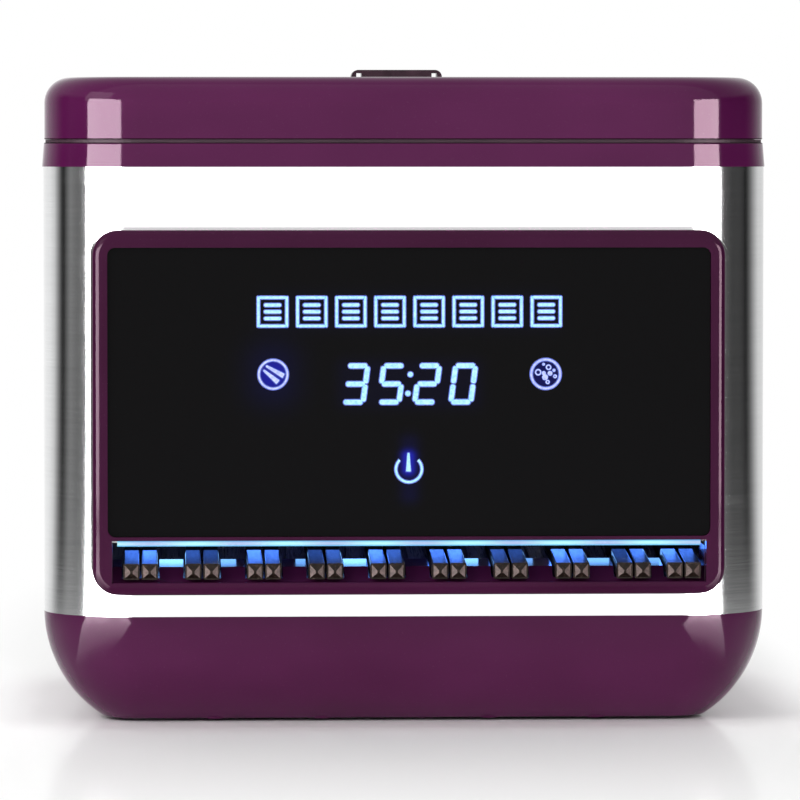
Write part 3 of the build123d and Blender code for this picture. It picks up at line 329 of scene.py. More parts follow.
def bend(radius, width, x, z, start, sweep, proud):
    """A window that follows a ring or an arc, from start through sweep, clockwise from the right."""
    bpy.ops.mesh.primitive_plane_add(size=1.0)
    window = bpy.context.object
    window.scale = (width, proud, 1.0)
    window.rotation_euler = (math.pi / 2, 0.0, 0.0)
    window.location = (radius, 0.0, proud / 2)
    bpy.ops.object.transform_apply()
    bpy.ops.object.mode_set(mode="EDIT")
    bpy.ops.mesh.select_all(action="SELECT")
    if sweep == 2 * math.pi:
        bpy.ops.mesh.delete(type="ONLY_FACE")
        bpy.ops.mesh.select_all(action="SELECT")
    steps = max(6, int(40 * sweep / (2 * math.pi)))
    bpy.ops.mesh.spin(steps=steps, angle=sweep, center=(0.0, 0.0, 0.0), axis=(0.0, 0.0, 1.0))
    bpy.ops.mesh.select_all(action="SELECT")
    bpy.ops.mesh.remove_doubles(threshold=0.00001)
    bpy.ops.mesh.normals_make_consistent(inside=False)
    bpy.ops.object.mode_set(mode="OBJECT")
    window.rotation_euler = (0.0, 0.0, start)
    bpy.ops.object.transform_apply()
    window.rotation_euler = (math.pi / 2, 0.0, 0.0)
    window.location = (x, pane_face, z)
    bpy.ops.object.transform_apply()
    return window


def gather(name, windows, finish):
    """Joins the windows of one symbol into one piece and fixes it to the housing."""
    bpy.ops.object.select_all(action="DESELECT")
    for window in windows:
        window.select_set(True)
    bpy.context.view_layer.objects.active = windows[0]
    bpy.ops.object.join()
    windows[0].name = name
    windows[0].data.name = name
    windows[0].data.materials.append(finish.material)
    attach(windows[0], "housing")
    bpy.ops.object.select_all(action="DESELECT")


# Clock: the seven bars of a digit, as (across, up, whether it stands), on a cell of unit height
digit_height = 0.0190
digit_width = 0.0092
digit_stroke = 0.0022
digit_lean = math.radians(7.5)
digit_middles = (-0.0250, -0.0084, 0.0081, 0.0248)
bar_gap = 0.0005
colon_middle = -0.0002
colon_rise = 0.0044
digit_bars = {
    "a": (0.0, 0.5, False),
    "b": (0.5, 0.25, True),
    "c": (0.5, -0.25, True),
    "d": (0.0, -0.5, False),
    "e": (-0.5, -0.25, True),
    "f": (-0.5, 0.25, True),
    "g": (0.0, 0.0, False),
}
digit_shapes = {"0": "abcdef", "2": "abged", "3": "abgcd", "5": "afgcd"}

for name, (wide, proud, finish) in zip(("clock_digits", "clock_fringe"), layers):
    bars = []
    for middle, figure in zip(digit_middles, "3520"):
        for part in digit_shapes[figure]:
            across, up, standing = digit_bars[part]
            rise = up * (digit_height - digit_stroke)
            x = middle + across * digit_width + rise * math.tan(digit_lean)
            long = (digit_height - digit_stroke) / 2 if standing else digit_width
            long = long - bar_gap + wide
            turn = digit_lean if standing else math.pi / 2
            bars.append(stand(digit_stroke + wide, long, x, clock_row + rise, turn, proud))
    dot = digit_stroke + wide
    for rise in (-colon_rise, colon_rise):
        x = colon_middle + rise * math.tan(digit_lean)
        bars.append(stand(dot, dot, x, clock_row + rise, 0.0, proud))
    gather(name, bars, finish)

# Level cells: a round-cornered frame with three steps inside it, eight times
cell_count = 8
cell_pitch = 0.01806
cell_size = 0.0131
frame_stroke = 0.00115
step_stroke = 0.0014
step_length = 0.0078
step_pitch = 0.0031

for name, (wide, proud, finish) in zip(("level_cells", "level_fringe"), layers):
    bars = []
    stroke = frame_stroke + wide
    for count in range(cell_count):
        middle = (count - (cell_count - 1) / 2) * cell_pitch
        for side in (-1, 1):
            x = middle + side * cell_size / 2
            bars.append(stand(stroke, cell_size + stroke, x, symbol_row, 0.0, proud))
            z = symbol_row + side * cell_size / 2
            bars.append(stand(stroke, cell_size + wide, middle, z, math.pi / 2, proud))
        for step in (-1, 0, 1):
            z = symbol_row + step * step_pitch
            bars.append(stand(step_stroke + wide, step_length + wide, middle, z, math.pi / 2, proud))
    gather(name, bars, finish)

# Stick symbol, bubble symbol and power symbol. A stick is (width, length, across, up, lean, taper),
# and a bubble (across, up, size), either an open ring or filled.
whole_turn = 2 * math.pi
stick_ring = (0.0066, 0.0008)
symbol_sticks = (
    (0.0021, 0.0092, 0.0008, 0.0016, math.radians(-60), 0.45),
    (0.0022, 0.0086, -0.0011, -0.0008, math.radians(-50), 0.4),
)
bubble_ring = (0.0067, 0.0009)
bubble_stroke = 0.0005
open_bubbles = (
    (-0.0035, 0.0008, 0.0012),
    (0.0013, 0.0031, 0.0010),
    (0.0009, -0.0037, 0.0007),
    (0.0043, -0.0011, 0.0006),
)
filled_bubbles = (
    (-0.0010, 0.0045, 0.0012),
    (0.0038, 0.0017, 0.0013),
    (-0.0009, 0.0004, 0.0018),
    (0.0020, 0.0003, 0.0021),
    (-0.0003, -0.0015, 0.0026),
)
power_arc = (0.0060, 0.0010)
power_arc_x = -0.0003
power_bar = (0.0021, 0.0085)
power_bar_x, power_bar_rise = -0.0005, 0.0032

for tag, (wide, proud, finish) in zip(("core", "fringe"), layers):
    radius, stroke = stick_ring
    sticks = [bend(radius, stroke + wide, -icon_x, icon_row, 0.0, whole_turn, proud)]
    for width, length, across, up, lean, taper in symbol_sticks:
        x, z = across - icon_x, icon_row + up
        sticks.append(stand(width + wide, length + wide, x, z, lean, proud, taper))
    gather(f"stick_symbol_{tag}", sticks, finish)

    radius, stroke = bubble_ring
    bubbles = [bend(radius, stroke + wide, icon_x, icon_row, 0.0, whole_turn, proud)]
    wider = wide / 2
    for across, up, size in open_bubbles:
        x, z = icon_x + across, icon_row + up
        bubbles.append(bend(size, bubble_stroke + wider, x, z, 0.0, whole_turn, proud))
    for across, up, size in filled_bubbles:
        bubbles.append(stand(size + wider, size + wider, icon_x + across, icon_row + up, 0.0, proud))
    gather(f"bubble_symbol_{tag}", bubbles, finish)

    radius, stroke = power_arc
    arc = bend(radius, stroke + wide, power_arc_x, power_row, whole_turn / 8, whole_turn * 0.75, proud)
    width, length = power_bar
    z = power_row + power_bar_rise
    bar = stand(width + wide, length + wide, power_bar_x, z, 0.0, proud, 0.45)
    gather(f"power_symbol_{tag}", [arc, bar], finish)

# ---- Light strip --------------------------------------------------------------------------------
# A clear acrylic rod behind the bar of the bezel, lit from its board by cyan-white diodes.
# The diodes show in it as lilac patches with paler light between them.

strip_height = 0.08665
diode_pitch = 0.0423
diode_shift = 0.004

strip = Finish("diffuser", {"Base Color": (0.05, 0.09, 0.10), "Emission Strength": 1.0})
along = strip.node("ShaderNodeSeparateXYZ", {}, {0: strip.place()}, 0)
diodes = strip.math("SINE", (along + diode_shift) * (2 * math.pi / diode_pitch), 0.0) * 0.5 + 0.5
rim = strip.node("ShaderNodeSeparateXYZ", {}, {0: strip.place()}, 2)
limits = {"Value": abs(rim - strip_height), "From Min": 0.0014, "From Max": 0.0004}
core = strip.node("ShaderNodeMapRange", {}, limits)
haze = strip.speckle(strip.place((1.0, 3.0, 3.0)), 0.012, 2.0, 0.3, 0.7)
glowing = strip.blend(diodes * 0.85 + haze * 0.15, (0.40, 0.88, 0.84), (0.34, 0.40, 0.72))
lit = strip.blend(core, (0.04, 0.40, 0.80), glowing)
strip.wear({"Emission Color": lit, "Roughness": 0.2 + haze * 0.12})
strip.dress("light_diffuser")

# ---- Comb and inner slope of the mouth ----------------------------------------------------------
# A moulded purple comb behind the bezel. Its ribs part the ten pairs of sticks. It is spark-eroded
# rather than polished, so it is a little duller than the shells, and so are the hinge leaves.

comb = Finish("mouth_lip", {"Specular IOR Level": 0.2})
spark = comb.speckle(comb.place(), 0.0007, 2.0, 0.3, 0.7)
swirl = comb.speckle(comb.place((1.0, 1.0, 2.0)), 0.03, 2.0, 0.3, 0.7)
comb.wear(
    {
        "Base Color": comb.blend(swirl, (0.040, 0.0050, 0.030), (0.056, 0.0075, 0.042)),
        "Roughness": 0.16 + spark * 0.06 + swirl * 0.03,
        "Normal": comb.relief(spark, 0.1, 0.00003),
    }
)
comb.dress("mouth_lip", "hinge_leaf_left", "hinge_leaf_right")

# ---- Chopsticks ---------------------------------------------------------------------------------
# Square dark brown sticks of moulded melamine, with a lacquered stone-like fleck along them, and a pyramid
# point at the thick end. A pale bronze painted highlight lies on the point's two side faces.

lacquer = Finish("chopstick", {"Specular IOR Level": 0.08})
grain = lacquer.speckle(lacquer.place((5.0, 0.35, 5.0)), 0.006, 4.0, 0.35, 0.7)
fleck = lacquer.speckle(lacquer.place(), 0.0011, 1.0, 0.6, 0.72)
nicks = lacquer.speckle(lacquer.place(), 0.0024, 3.0, 0.6, 0.75)
wood = lacquer.blend(grain, (0.007, 0.0045, 0.0035), (0.019, 0.012, 0.009))
flecked = lacquer.blend(fleck * 0.3, wood, (0.11, 0.075, 0.06))
# Painted highlight: the two side faces of each point, picked out by their normals, are turned a pale
# bronze.
facing = lacquer.node("ShaderNodeTexCoord", {}, {}, "Normal")
sideways = abs(lacquer.node("ShaderNodeSeparateXYZ", {}, {0: facing}, 0))
forwards = lacquer.node("ShaderNodeSeparateXYZ", {}, {0: facing}, 1) * -1.0
flank = lacquer.math("GREATER_THAN", sideways, 0.35) * lacquer.math("GREATER_THAN", forwards, 0.5)
flank_highlight = lacquer.blend(grain, (0.13, 0.090, 0.085), (0.26, 0.18, 0.17))
lacquer.wear(
    {
        "Base Color": lacquer.blend(flank * 0.5, flecked, flank_highlight),
        "Roughness": 0.30 + grain * 0.07 + nicks * 0.12,
        "Normal": lacquer.relief(grain + nicks, 0.1, 0.00004),
    }
)
lacquer.dress(*(f"chopsticks_{count:02d}" for count in range(1, 11)))

# ---- Black mouldings ----------------------------------------------------------------------------
# The fan, cord gland and lid switch are black nylon with a fine spark-eroded grain, and the handle
# is a smoother dark purple moulding that two screws hold to the lid.

black = Finish("dark_plastic", {"Specular IOR Level": 0.4})
eroded = black.speckle(black.place(), 0.0006, 2.0, 0.3, 0.7)
bloom = black.speckle(black.place(), 0.02, 3.0, 0.35, 0.7)
black.wear(
    {
        "Base Color": black.blend(bloom, (0.016, 0.014, 0.017), (0.034, 0.030, 0.035)),
        "Roughness": 0.38 + eroded * 0.12 + bloom * 0.06,
        "Normal": black.relief(eroded, 0.15, 0.00004),
    }
)
black.dress("cord_gland", "fan_housing", "fan_rotor", "reed_sensor")

handle = Finish("handle_bar", {"Specular IOR Level": 0.12})
skin = handle.speckle(handle.place(), 0.0009, 2.0, 0.3, 0.7)
rub = handle.speckle(handle.place((1.0, 2.0, 1.0)), 0.012, 3.0, 0.45, 0.75)
handle.wear(
    {
        "Base Color": handle.blend(rub, (0.030, 0.010, 0.020), (0.060, 0.024, 0.040)),
        "Roughness": 0.24 + skin * 0.08 + rub * 0.1,
        "Normal": handle.relief(skin, 0.1, 0.00003),
    }
)
handle.dress("lid_handle")

# ---- Lid liner and seal -------------------------------------------------------------------------
# The liner is a dark purple moulding with a satin grain that closes the lid from below. The seal
# round it is a soft ring of near-black silicone that attracts a little dust.

satin = Finish("liner_plastic", {"Specular IOR Level": 0.35})
fine = satin.speckle(satin.place(), 0.0008, 2.0, 0.3, 0.7)
mould = satin.speckle(satin.place((1.0, 1.0, 3.0)), 0.05, 2.0, 0.3, 0.7)
satin.wear(
    {
        "Base Color": satin.blend(mould, (0.036, 0.0055, 0.026), (0.050, 0.0085, 0.036)),
        "Roughness": 0.3 + fine * 0.12 + mould * 0.05,
        "Normal": satin.relief(fine, 0.12, 0.00004),
    }
)
satin.dress("lid_liner")

silicone = Finish("silicone", {"Specular IOR Level": 0.08})
lint = silicone.speckle(silicone.place(), 0.0010, 3.0, 0.62, 0.75)
pull = silicone.speckle(silicone.place(), 0.015, 2.0, 0.3, 0.7)
silicone.wear(
    {
        "Base Color": silicone.blend(pull * 0.6 + lint * 0.4, (0.014, 0.005, 0.010), (0.032, 0.012, 0.022)),
        "Roughness": 0.5 + lint * 0.2,
        "Normal": silicone.relief(lint, 0.15, 0.00005),
    }
)
silicone.dress("lid_seal")

# ---- Seam bead ----------------------------------------------------------------------------------
# A thin black silicone bead lies on the rim of the collar, just inside the lid's edge. It is painted shade:
# a dark strip that fills the seam so that it shows dark.

bead_inset = 0.0005
bead_width = 0.0012
bead_corner = 0.0438
bead_clear = 0.0001

# Painted shade: this bead darkens the seam in place of its shadow.
bpy.ops.object.select_all(action="DESELECT")
bpy.ops.mesh.primitive_plane_add(size=1.0)
bead = bpy.context.object
bead.name = bead.data.name = "seam_shade_bead"
bead.scale = (lid_high.x - lid_low.x - 2 * bead_inset, lid_high.y - lid_low.y - 2 * bead_inset, 1.0)
bead.location = ((lid_low.x + lid_high.x) / 2, (lid_low.y + lid_high.y) / 2, rim_height)
bpy.ops.object.transform_apply()
bpy.ops.object.mode_set(mode="EDIT")
bpy.ops.mesh.select_all(action="SELECT")
bpy.ops.mesh.bevel(offset=bead_corner, segments=20, affect="VERTICES")
bpy.ops.mesh.select_all(action="SELECT")
bpy.ops.mesh.inset(thickness=bead_width)
bpy.ops.mesh.delete(type="FACE")
bpy.ops.mesh.select_all(action="SELECT")
bead_rise = lid_low.z - rim_height - bead_clear
bpy.ops.mesh.extrude_region_move(TRANSFORM_OT_translate={"value": (0.0, 0.0, bead_rise)})
bpy.ops.mesh.select_all(action="SELECT")
bpy.ops.mesh.normals_make_consistent(inside=False)
bpy.ops.object.mode_set(mode="OBJECT")
bead.data.materials.append(silicone.material)
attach(bead, "housing")
bpy.ops.object.select_all(action="DESELECT")

# ---- Feet ---------------------------------------------------------------------------------------
# Four black rubber feet carry the machine just clear of the worktop. They have a fine ribbed skin
# and scuffs of worktop dust.

rubber = Finish("rubber", {"Specular IOR Level": 0.25})
rib = rubber.speckle(rubber.place((1.0, 1.0, 8.0)), 0.003, 2.0, 0.3, 0.7)
scuff = rubber.speckle(rubber.place(), 0.004, 3.0, 0.55, 0.75)
rubber.wear(
    {
        "Base Color": rubber.blend(scuff, (0.014, 0.014, 0.014), (0.075, 0.072, 0.070)),
        "Roughness": 0.6 + rib * 0.15 + scuff * 0.1,
        "Normal": rubber.relief(rib + scuff, 0.2, 0.00008),
    }
)
rubber.dress("foot_front_left", "foot_front_right", "foot_rear_left", "foot_rear_right")

# ---- Plated sheet: bottom cover and motor bracket -----------------------------------------------
# The cover closes the tub from below and the bracket holds the motor. Both are zinc-plated sheet,
# and the plating bath has left a faint spangle and dull patches.

zinc = Finish("cover_steel", {"Metallic": 1.0})
crystals = {"feature": "F1", "voronoi_dimensions": "3D"}
spangle = zinc.node("ShaderNodeTexVoronoi", crystals, {"Vector": zinc.place(), "Scale": 210.0}, 1)
spangle = zinc.node("ShaderNodeRGBToBW", {}, {0: spangle})
bath = zinc.speckle(zinc.place(), 0.03, 3.0, 0.35, 0.7)
zinc.wear(
    {
        "Base Color": zinc.blend(spangle * 0.35 + bath * 0.4, (0.36, 0.37, 0.38), (0.60, 0.61, 0.62)),
        "Roughness": 0.32 + spangle * 0.12 + bath * 0.1,
    }
)
zinc.dress("bottom_cover", "motor_bracket")

# ---- Turned steel: shafts, pins, screws and motor can -------------------------------------------
# Ground bar and a drawn can, bright with tool lines and a trace of oil. The shafts run in bearings,
# and the pins are pushed through the leaves of the hinges.

turned = Finish("shaft_steel", {"Metallic": 1.0})
tool = turned.speckle(turned.place((70.0, 1.0, 1.0)), 0.02, 3.0, 0.3, 0.7)
oil = turned.speckle(turned.place(), 0.008, 3.0, 0.5, 0.75)
turned.wear(
    {
        "Base Color": turned.blend(tool, (0.50, 0.50, 0.51), (0.66, 0.66, 0.67)),
        "Roughness": 0.18 + tool * 0.1 + oil * 0.12,
        "Normal": turned.relief(tool, 0.12, 0.00002),
    }
)
turned.dress("agitator_shaft", "gear_motor", "hinge_pins", "lid_handle_screws", "motor_shaft")

# ---- Nylon: stirrer, its gear, lamp holders and stand-offs --------------------------------------
# Natural nylon, slightly waxy, that has yellowed a little. The ozone module's case is of the
# same stuff.

nylon = Finish("white_nylon", {"Subsurface Weight": 0.08, "Subsurface Scale": 0.002})
wax = nylon.speckle(nylon.place(), 0.012, 3.0, 0.3, 0.7)
pit = nylon.speckle(nylon.place(), 0.0009, 2.0, 0.55, 0.7)
nylon.wear(
    {
        "Base Color": nylon.blend(wax, (0.72, 0.70, 0.62), (0.80, 0.79, 0.74)),
        "Roughness": 0.4 + wax * 0.08 + pit * 0.1,
        "Normal": nylon.relief(pit, 0.12, 0.00004),
    }
)
nylon.dress("agitator_gear", "agitator_paddles", "board_standoffs", "lamp_holders", "ozone_module")

# ---- Sintered bronze: bearings and pinion -------------------------------------------------------
# Pressed and sintered powder, soaked in oil, so it is finely porous and darker where it is wet.
# The bearings sit in the hopper's lugs and the pinion on the motor's shaft.

bronze = Finish("bronze", {"Metallic": 1.0})
pores = bronze.speckle(bronze.place(), 0.0005, 2.0, 0.45, 0.7)
wet = bronze.speckle(bronze.place(), 0.006, 3.0, 0.4, 0.7)
bronze.wear(
    {
        "Base Color": bronze.blend(wet * 0.6 + pores * 0.4, (0.60, 0.42, 0.20), (0.30, 0.19, 0.09)),
        "Roughness": 0.36 + pores * 0.2 - wet * 0.08,
        "Normal": bronze.relief(pores, 0.2, 0.00005),
    }
)
bronze.dress("shaft_bearings", "motor_pinion")

# ---- Circuit boards -----------------------------------------------------------------------------
# Glass-fibre boards under green lacquer, with paler tracks in a fine grid and a weave beneath.
# The main board stands on nylon spacers, and the other two sit behind the front.

board = Finish("board_green", {"Specular IOR Level": 0.5, "Coat Weight": 0.3, "Coat Roughness": 0.2})
bricks = {"offset": 0.37, "squash": 1.6, "squash_frequency": 3}
sizes = {
    "Vector": board.place((1.0, 1.0, 1.0), (math.pi / 2, 0.0, 0.0)),
    "Scale": 1.0,
    "Mortar Size": 0.0004,
    "Mortar Smooth": 0.1,
    "Brick Width": 0.013,
    "Row Height": 0.0034,
}
tracks = board.node("ShaderNodeTexBrick", bricks, sizes, 1)
weave = board.speckle(board.place((1.0, 6.0, 1.0)), 0.0012, 1.0, 0.3, 0.7)
lacquered = board.blend(weave, (0.010, 0.075, 0.030), (0.016, 0.105, 0.044))
board.wear(
    {
        "Base Color": board.blend(tracks * 0.6, lacquered, (0.055, 0.22, 0.085)),
        "Roughness": 0.32 + weave * 0.1,
        "Normal": board.relief(tracks, 0.25, 0.00005),
    }
)
board.dress("display_board", "light_board", "main_board")

# ---- Aluminium: ballast can, heater fins and lamp caps ------------------------------------------
# Extruded and pressed aluminium with drawing lines along it and a thin grey oxide. The caps close
# the two ends of the lamp tube.

alloy = Finish("aluminium", {"Metallic": 1.0})
drawn = alloy.speckle(alloy.place((1.0, 40.0, 40.0)), 0.03, 3.0, 0.3, 0.7)
oxide = alloy.speckle(alloy.place(), 0.01, 3.0, 0.4, 0.7)
alloy.wear(
    {
        "Base Color": alloy.blend(drawn * 0.5 + oxide * 0.5, (0.56, 0.565, 0.57), (0.74, 0.745, 0.75)),
        "Roughness": 0.3 + drawn * 0.1 + oxide * 0.12,
        "Normal": alloy.relief(drawn, 0.1, 0.00002),
    }
)
alloy.dress("lamp_ballast", "ptc_heater", "uv_lamp_caps")

# ---- Lamp tube ----------------------------------------------------------------------------------
# A clear quartz tube with a violet-blue discharge in it, paler towards the electrodes.
# It lies behind the bin, between two holders, and shines in through a window.

tube_half = 0.106

quartz = Finish("lamp_glass", {"IOR": 1.46, "Emission Strength": 1.6})
end = abs(quartz.node("ShaderNodeSeparateXYZ", {}, {0: quartz.place()}, 0)) / tube_half
plasma = quartz.speckle(quartz.place((1.0, 3.0, 3.0)), 0.02, 2.0, 0.3, 0.7)
quartz.wear(
    {
        "Base Color": quartz.blend(end, (0.30, 0.36, 0.62), (0.75, 0.78, 0.85)),
        "Emission Color": quartz.blend(end * 0.6 + plasma * 0.4, (0.10, 0.16, 0.95), (0.35, 0.42, 0.9)),
        "Roughness": 0.04 + plasma * 0.04,
    }
)
quartz.dress("uv_lamp_tube")

# ---- Magnet in the lid --------------------------------------------------------------------------
# A nickel-plated disc magnet, held between the lid and its liner, that closes the switch below it.
# Its plating is slightly mottled.

nickel = Finish("magnet", {"Metallic": 1.0})
plate = nickel.speckle(nickel.place(), 0.002, 3.0, 0.35, 0.7)
plating = nickel.blend(plate, (0.55, 0.54, 0.52), (0.68, 0.67, 0.65))
nickel.wear({"Base Color": plating, "Roughness": 0.15 + plate * 0.12})
nickel.dress("lid_magnet")

# ---- Light inside the mouth ---------------------------------------------------------------------
# Blue diodes behind the bar shine forwards and down, over the sticks in their bays and over the ribs
# of the comb between them. Each stick and each rib has its own diode, and no two are as bright.


def lamp(name, place, aim, energy, colour, size):
    light = bpy.data.lights.new(name, "AREA")
    light.energy, light.color = energy, colour
    light.shape = "RECTANGLE"
    light.size, light.size_y = size
    holder = bpy.data.objects.new(name, light)
    bpy.context.scene.collection.objects.link(holder)
    holder.location = place
    holder.rotation_euler = (Vector(aim) - Vector(place)).to_track_quat("-Z", "Y").to_euler()


comb_low, comb_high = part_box("mouth_lip")
diode_y = comb_high.y + 0.006
pair_boxes = [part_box(f"chopsticks_{count:02d}") for count in range(1, 11)]
pair_middles = [(low.x + high.x) / 2 for low, high in pair_boxes]

# How bright the light is on the left and on the right stick of each pair
stick_shares = (
    (0.45, 0.9),
    (0.22, 0.15),
    (0.9, 0.6),
    (0.14, 0.28),
    (0.9, 0.3),
    (0.6, 0.9),
    (0.22, 0.14),
    (1.0, 0.8),
    (0.14, 0.6),
    (0.9, 0.45),
)
stick_aside = 0.0042
stick_diode = (0.0075, 0.0070)
stick_diode_height, stick_aim_height = 0.0842, 0.0790
stick_energy = 0.0024
stick_blue = (0.06, 0.19, 0.85)

for middle, shares in zip(pair_middles, stick_shares):
    for side, share in zip((-1, 1), shares):
        x = middle + side * stick_aside
        place, aim = (x, diode_y, stick_diode_height), (x, comb_low.y, stick_aim_height)
        lamp("stick_blue", place, aim, stick_energy * share, stick_blue, stick_diode)

# Between two pairs: how bright the bar of light is, and from where to where it runs
gap_bars = (
    (1.0, 0.0, 1.0),
    (0.6, 0.0, 0.65),
    (0.5, 0.6, 1.0),
    (1.0, 0.0, 1.0),
    (0.0, 0.0, 1.0),
    (0.8, 0.0, 0.6),
    (0.4, 0.0, 0.35),
    (0.6, 0.0, 1.0),
    (0.5, 0.1, 0.9),
)
gap_width = 0.0115
gap_diode_tall = 0.004
gap_diode_height, gap_aim_height = 0.0800, 0.0760
gap_energy = 0.0013
gap_blue = (0.16, 0.42, 1.0)

for left, right, (share, start, end) in zip(pair_middles, pair_middles[1:], gap_bars):
    x = (left + right) / 2 + ((start + end) / 2 - 0.5) * gap_width
    place, aim = (x, diode_y, gap_diode_height), (x, comb_low.y, gap_aim_height)
    energy = gap_energy * share * (end - start)
    lamp("gap_blue", place, aim, energy, gap_blue, (gap_width * (end - start), gap_diode_tall))

# ---- Studio -------------------------------------------------------------------------------------
# A white glossy table under an even white dome, and two soft boxes at the front corners. The low
# part of the dome and the far table also carry the dark upright bands that the steel mirrors.

# How bright the bands are, at shares of the way round from in front (0) to behind (1)
band_places = (0.258, 0.276, 0.40, 0.50, 0.56, 0.60, 0.64, 0.70, 0.765, 0.85)
bands_left = (1.0, 0.112, 0.093, 0.142, 0.06, 0.008, 0.03, 0.20, 0.45, 0.57)
bands_right = (1.0, 0.055, 0.030, 0.032, 0.024, 0.006, 0.03, 0.12, 0.27, 0.44)
front_level = 1.9

# The soft boxes, left and right: between which azimuths, in degrees to the right of straight ahead
box_turns = ((-24, -63), (29, 58))
box_tints = ((1.0, 0.98, 0.99), (1.0, 0.92, 0.93))
box_distance = 1.5
box_low, box_high = 0.02, 0.62
box_level = 46.0
box_share_on_table = 0.8


def horizon(finish, x, y):
    """The bands' brightness that way round, how far round it is, and 1 on the right-hand side."""
    behind = y / finish.math("SQRT", x * x + y * y, 0.0) * 0.5 + 0.5
    shades = []
    for levels in (bands_left, bands_right):
        stops = tuple(zip(band_places, levels))
        ramp = finish.node("ShaderNodeValToRGB", {"stops": stops}, {0: behind})
        shades.append(finish.node("ShaderNodeRGBToBW", {}, {0: ramp}))
    on_right = finish.math("GREATER_THAN", x, 0.0)
    return shades[0] * (1.0 - on_right) + shades[1] * on_right, behind, on_right


bpy.ops.mesh.primitive_circle_add(vertices=96, radius=9.0, fill_type="NGON")
table = bpy.context.object
table.name = "table_top"
paper = Finish("table_paper", {})
in_view = paper.node("ShaderNodeLightPath", {}, {}, "Is Camera Ray")
in_gloss = Field(paper, in_view.socket.node.outputs["Is Glossy Ray"])
spot = paper.node("ShaderNodeSeparateXYZ", {}, {0: paper.place()}, 0)
spot_y = Field(paper, spot.socket.node.outputs[1])

# The table is shaded round the object's foot, and plain where it is clear of it
foot_half_width, foot_half_depth, foot_middle_y = 0.168, 0.134, 0.004
beside = paper.math("MAXIMUM", abs(spot) - foot_half_width, 0.0)
before = paper.math("MAXIMUM", abs(spot_y - foot_middle_y) - foot_half_depth, 0.0)


def fade(side, front, start):
    """From 0 by the object's foot to 1 where the table is clear of it, at those two distances."""
    squares = beside * beside / (side * side) + before * before / (front * front)
    limits = {"Value": paper.math("SQRT", squares, 0.0), "From Min": start, "From Max": 1.0}
    return paper.node("ShaderNodeMapRange", {"interpolation_type": "SMOOTHSTEP"}, limits)


gleam = (1.0 - fade(side=0.10, front=0.70, start=0.0)) * 0.24 * (1.0 - in_gloss * 0.92)
diffuse = paper.node("ShaderNodeBsdfDiffuse", {}, {"Color": (0.93, 0.93, 0.93)})
sheen = paper.node("ShaderNodeBsdfGlossy", {}, {"Color": (1.0, 1.0, 1.0), "Roughness": 0.12})
shaded = paper.node("ShaderNodeMixShader", {}, {0: gleam, 1: diffuse, 2: sheen})

# Reflections see the bands on the clear table, and the soft boxes' light from them to the object
shade, behind, on_right = horizon(paper, spot, spot_y)
radius = paper.math("SQRT", spot * spot + spot_y * spot_y, 0.0)
clear = paper.node("ShaderNodeMapRange", {}, {"Value": radius, "From Min": 0.30, "From Max": 0.90})
lit = paper.node("ShaderNodeMapRange", {}, {"Value": radius, "From Min": 0.21, "From Max": 0.60})
lit = lit * paper.math("LESS_THAN", radius, 1.55)
lit = lit * paper.math("GREATER_THAN", abs(spot), 0.17)
for compare, turns in zip(("GREATER_THAN", "LESS_THAN"), zip(*box_turns)):
    left, right = ((1.0 - math.cos(math.radians(turn))) / 2 for turn in turns)
    lit = lit * paper.math(compare, behind, on_right * (right - left) + left)
gloss_level = (1.0 - clear) + clear * shade * front_level + lit * box_level * box_share_on_table
plain = paper.node("ShaderNodeEmission", {}, {"Strength": 1.0 + in_gloss * (gloss_level - 1.0)})
seen_bare = fade(side=0.06, front=0.75, start=0.05) * in_view
bare = seen_bare + fade(side=0.05, front=0.12, start=0.0) * in_gloss
paper.show(paper.node("ShaderNodeMixShader", {}, {0: bare, 1: shaded, 2: plain}))
table.data.materials.append(paper.material)

# The dome is even for plain light, and pure white for the camera. Reflections see its front
# brighter, and the bands low down on it.
world = bpy.data.worlds.new("white_dome")
bpy.context.scene.world = world
white = (1.0, 1.0, 1.0)
dome = Finish("white_dome", {"Color": white, "Strength": 0.82}, world, "Background")
gaze = dome.node("ShaderNodeTexCoord", {}, {}, "Generated")
gaze_x = dome.node("ShaderNodeSeparateXYZ", {}, {0: gaze}, 0)
gaze_y, gaze_z = (Field(dome, gaze_x.socket.node.outputs[out]) for out in (1, 2))
shade, behind, on_right = horizon(dome, gaze_x, gaze_y)
low_down = dome.node("ShaderNodeMapRange", {}, {"Value": gaze_z, "From Min": 0.42, "From Max": 0.26})
in_front = dome.node("ShaderNodeMapRange", {}, {"Value": behind, "From Min": 0.28, "From Max": 0.25})
high_up = (1.0 - low_down) * (1.0 + in_front * (front_level - 1.0))
mirror_level = shade * low_down * front_level + high_up
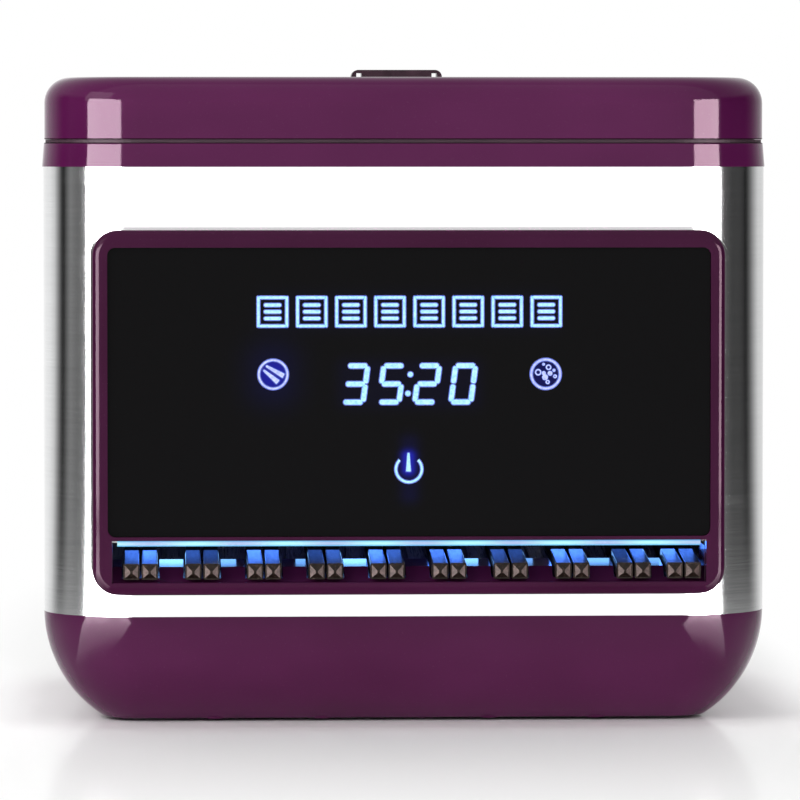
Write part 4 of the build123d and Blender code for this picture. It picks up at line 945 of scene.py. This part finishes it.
mirrored = dome.node("ShaderNodeBackground", {}, {"Color": white, "Strength": mirror_level})
backdrop = dome.node("ShaderNodeBackground", {}, {"Color": white, "Strength": 1.0})
in_view = dome.node("ShaderNodeLightPath", {}, {}, "Is Camera Ray")
rays = in_view.socket.node.outputs
in_gloss, through = (Field(dome, rays[name]) for name in ("Is Glossy Ray", "Is Transmission Ray"))
even = Field(dome, dome.shader.outputs[0])
lighting = dome.node("ShaderNodeMixShader", {}, {0: in_gloss, 1: even, 2: mirrored})
straight = dome.math("MAXIMUM", in_view, through)
dome.show(dome.node("ShaderNodeMixShader", {}, {0: straight, 1: lighting, 2: backdrop}), "World Output")

# Each soft box is an upright board that only reflections see
for name, turns, tint in zip(("soft_box_left", "soft_box_right"), box_turns, box_tints):
    bpy.ops.mesh.primitive_plane_add(size=1.0)
    panel = bpy.context.object
    panel.name = name
    corners = [(math.radians(turn), height) for height in (box_low, box_high) for turn in turns]
    for vertex, (turn, height) in zip(panel.data.vertices, corners):
        vertex.co = (box_distance * math.sin(turn), -box_distance * math.cos(turn), height)
    face = Finish(name, {})
    face.show(face.node("ShaderNodeEmission", {}, {"Color": tint, "Strength": box_level}))
    panel.data.materials.append(face.material)
    panel.visible_camera = panel.visible_diffuse = False
    panel.visible_shadow = panel.visible_transmission = False

key_place, key_aim = (-1.6, -1.2, 1.2), (0.0, 0.0, 0.15)
lamp("key", key_place, key_aim, 20.0, (1.0, 0.99, 0.97), (1.2, 1.2))

# ---- Camera -------------------------------------------------------------------------------------
# A long lens almost level with the top of the collar and a little to the left of the middle, so
# that the front is seen nearly square on.

view = bpy.data.cameras.new("camera")
view.lens, view.sensor_width = 258.0, 36.0
camera = bpy.data.objects.new("camera", view)
bpy.context.scene.collection.objects.link(camera)
camera.location = (-0.115, -2.79, 0.272)
aim = Vector((-0.0037, -0.13, 0.1521))
camera.rotation_euler = (aim - camera.location).to_track_quat("-Z", "Y").to_euler()
bpy.context.scene.camera = camera

bpy.context.scene.view_settings.view_transform = "Standard"
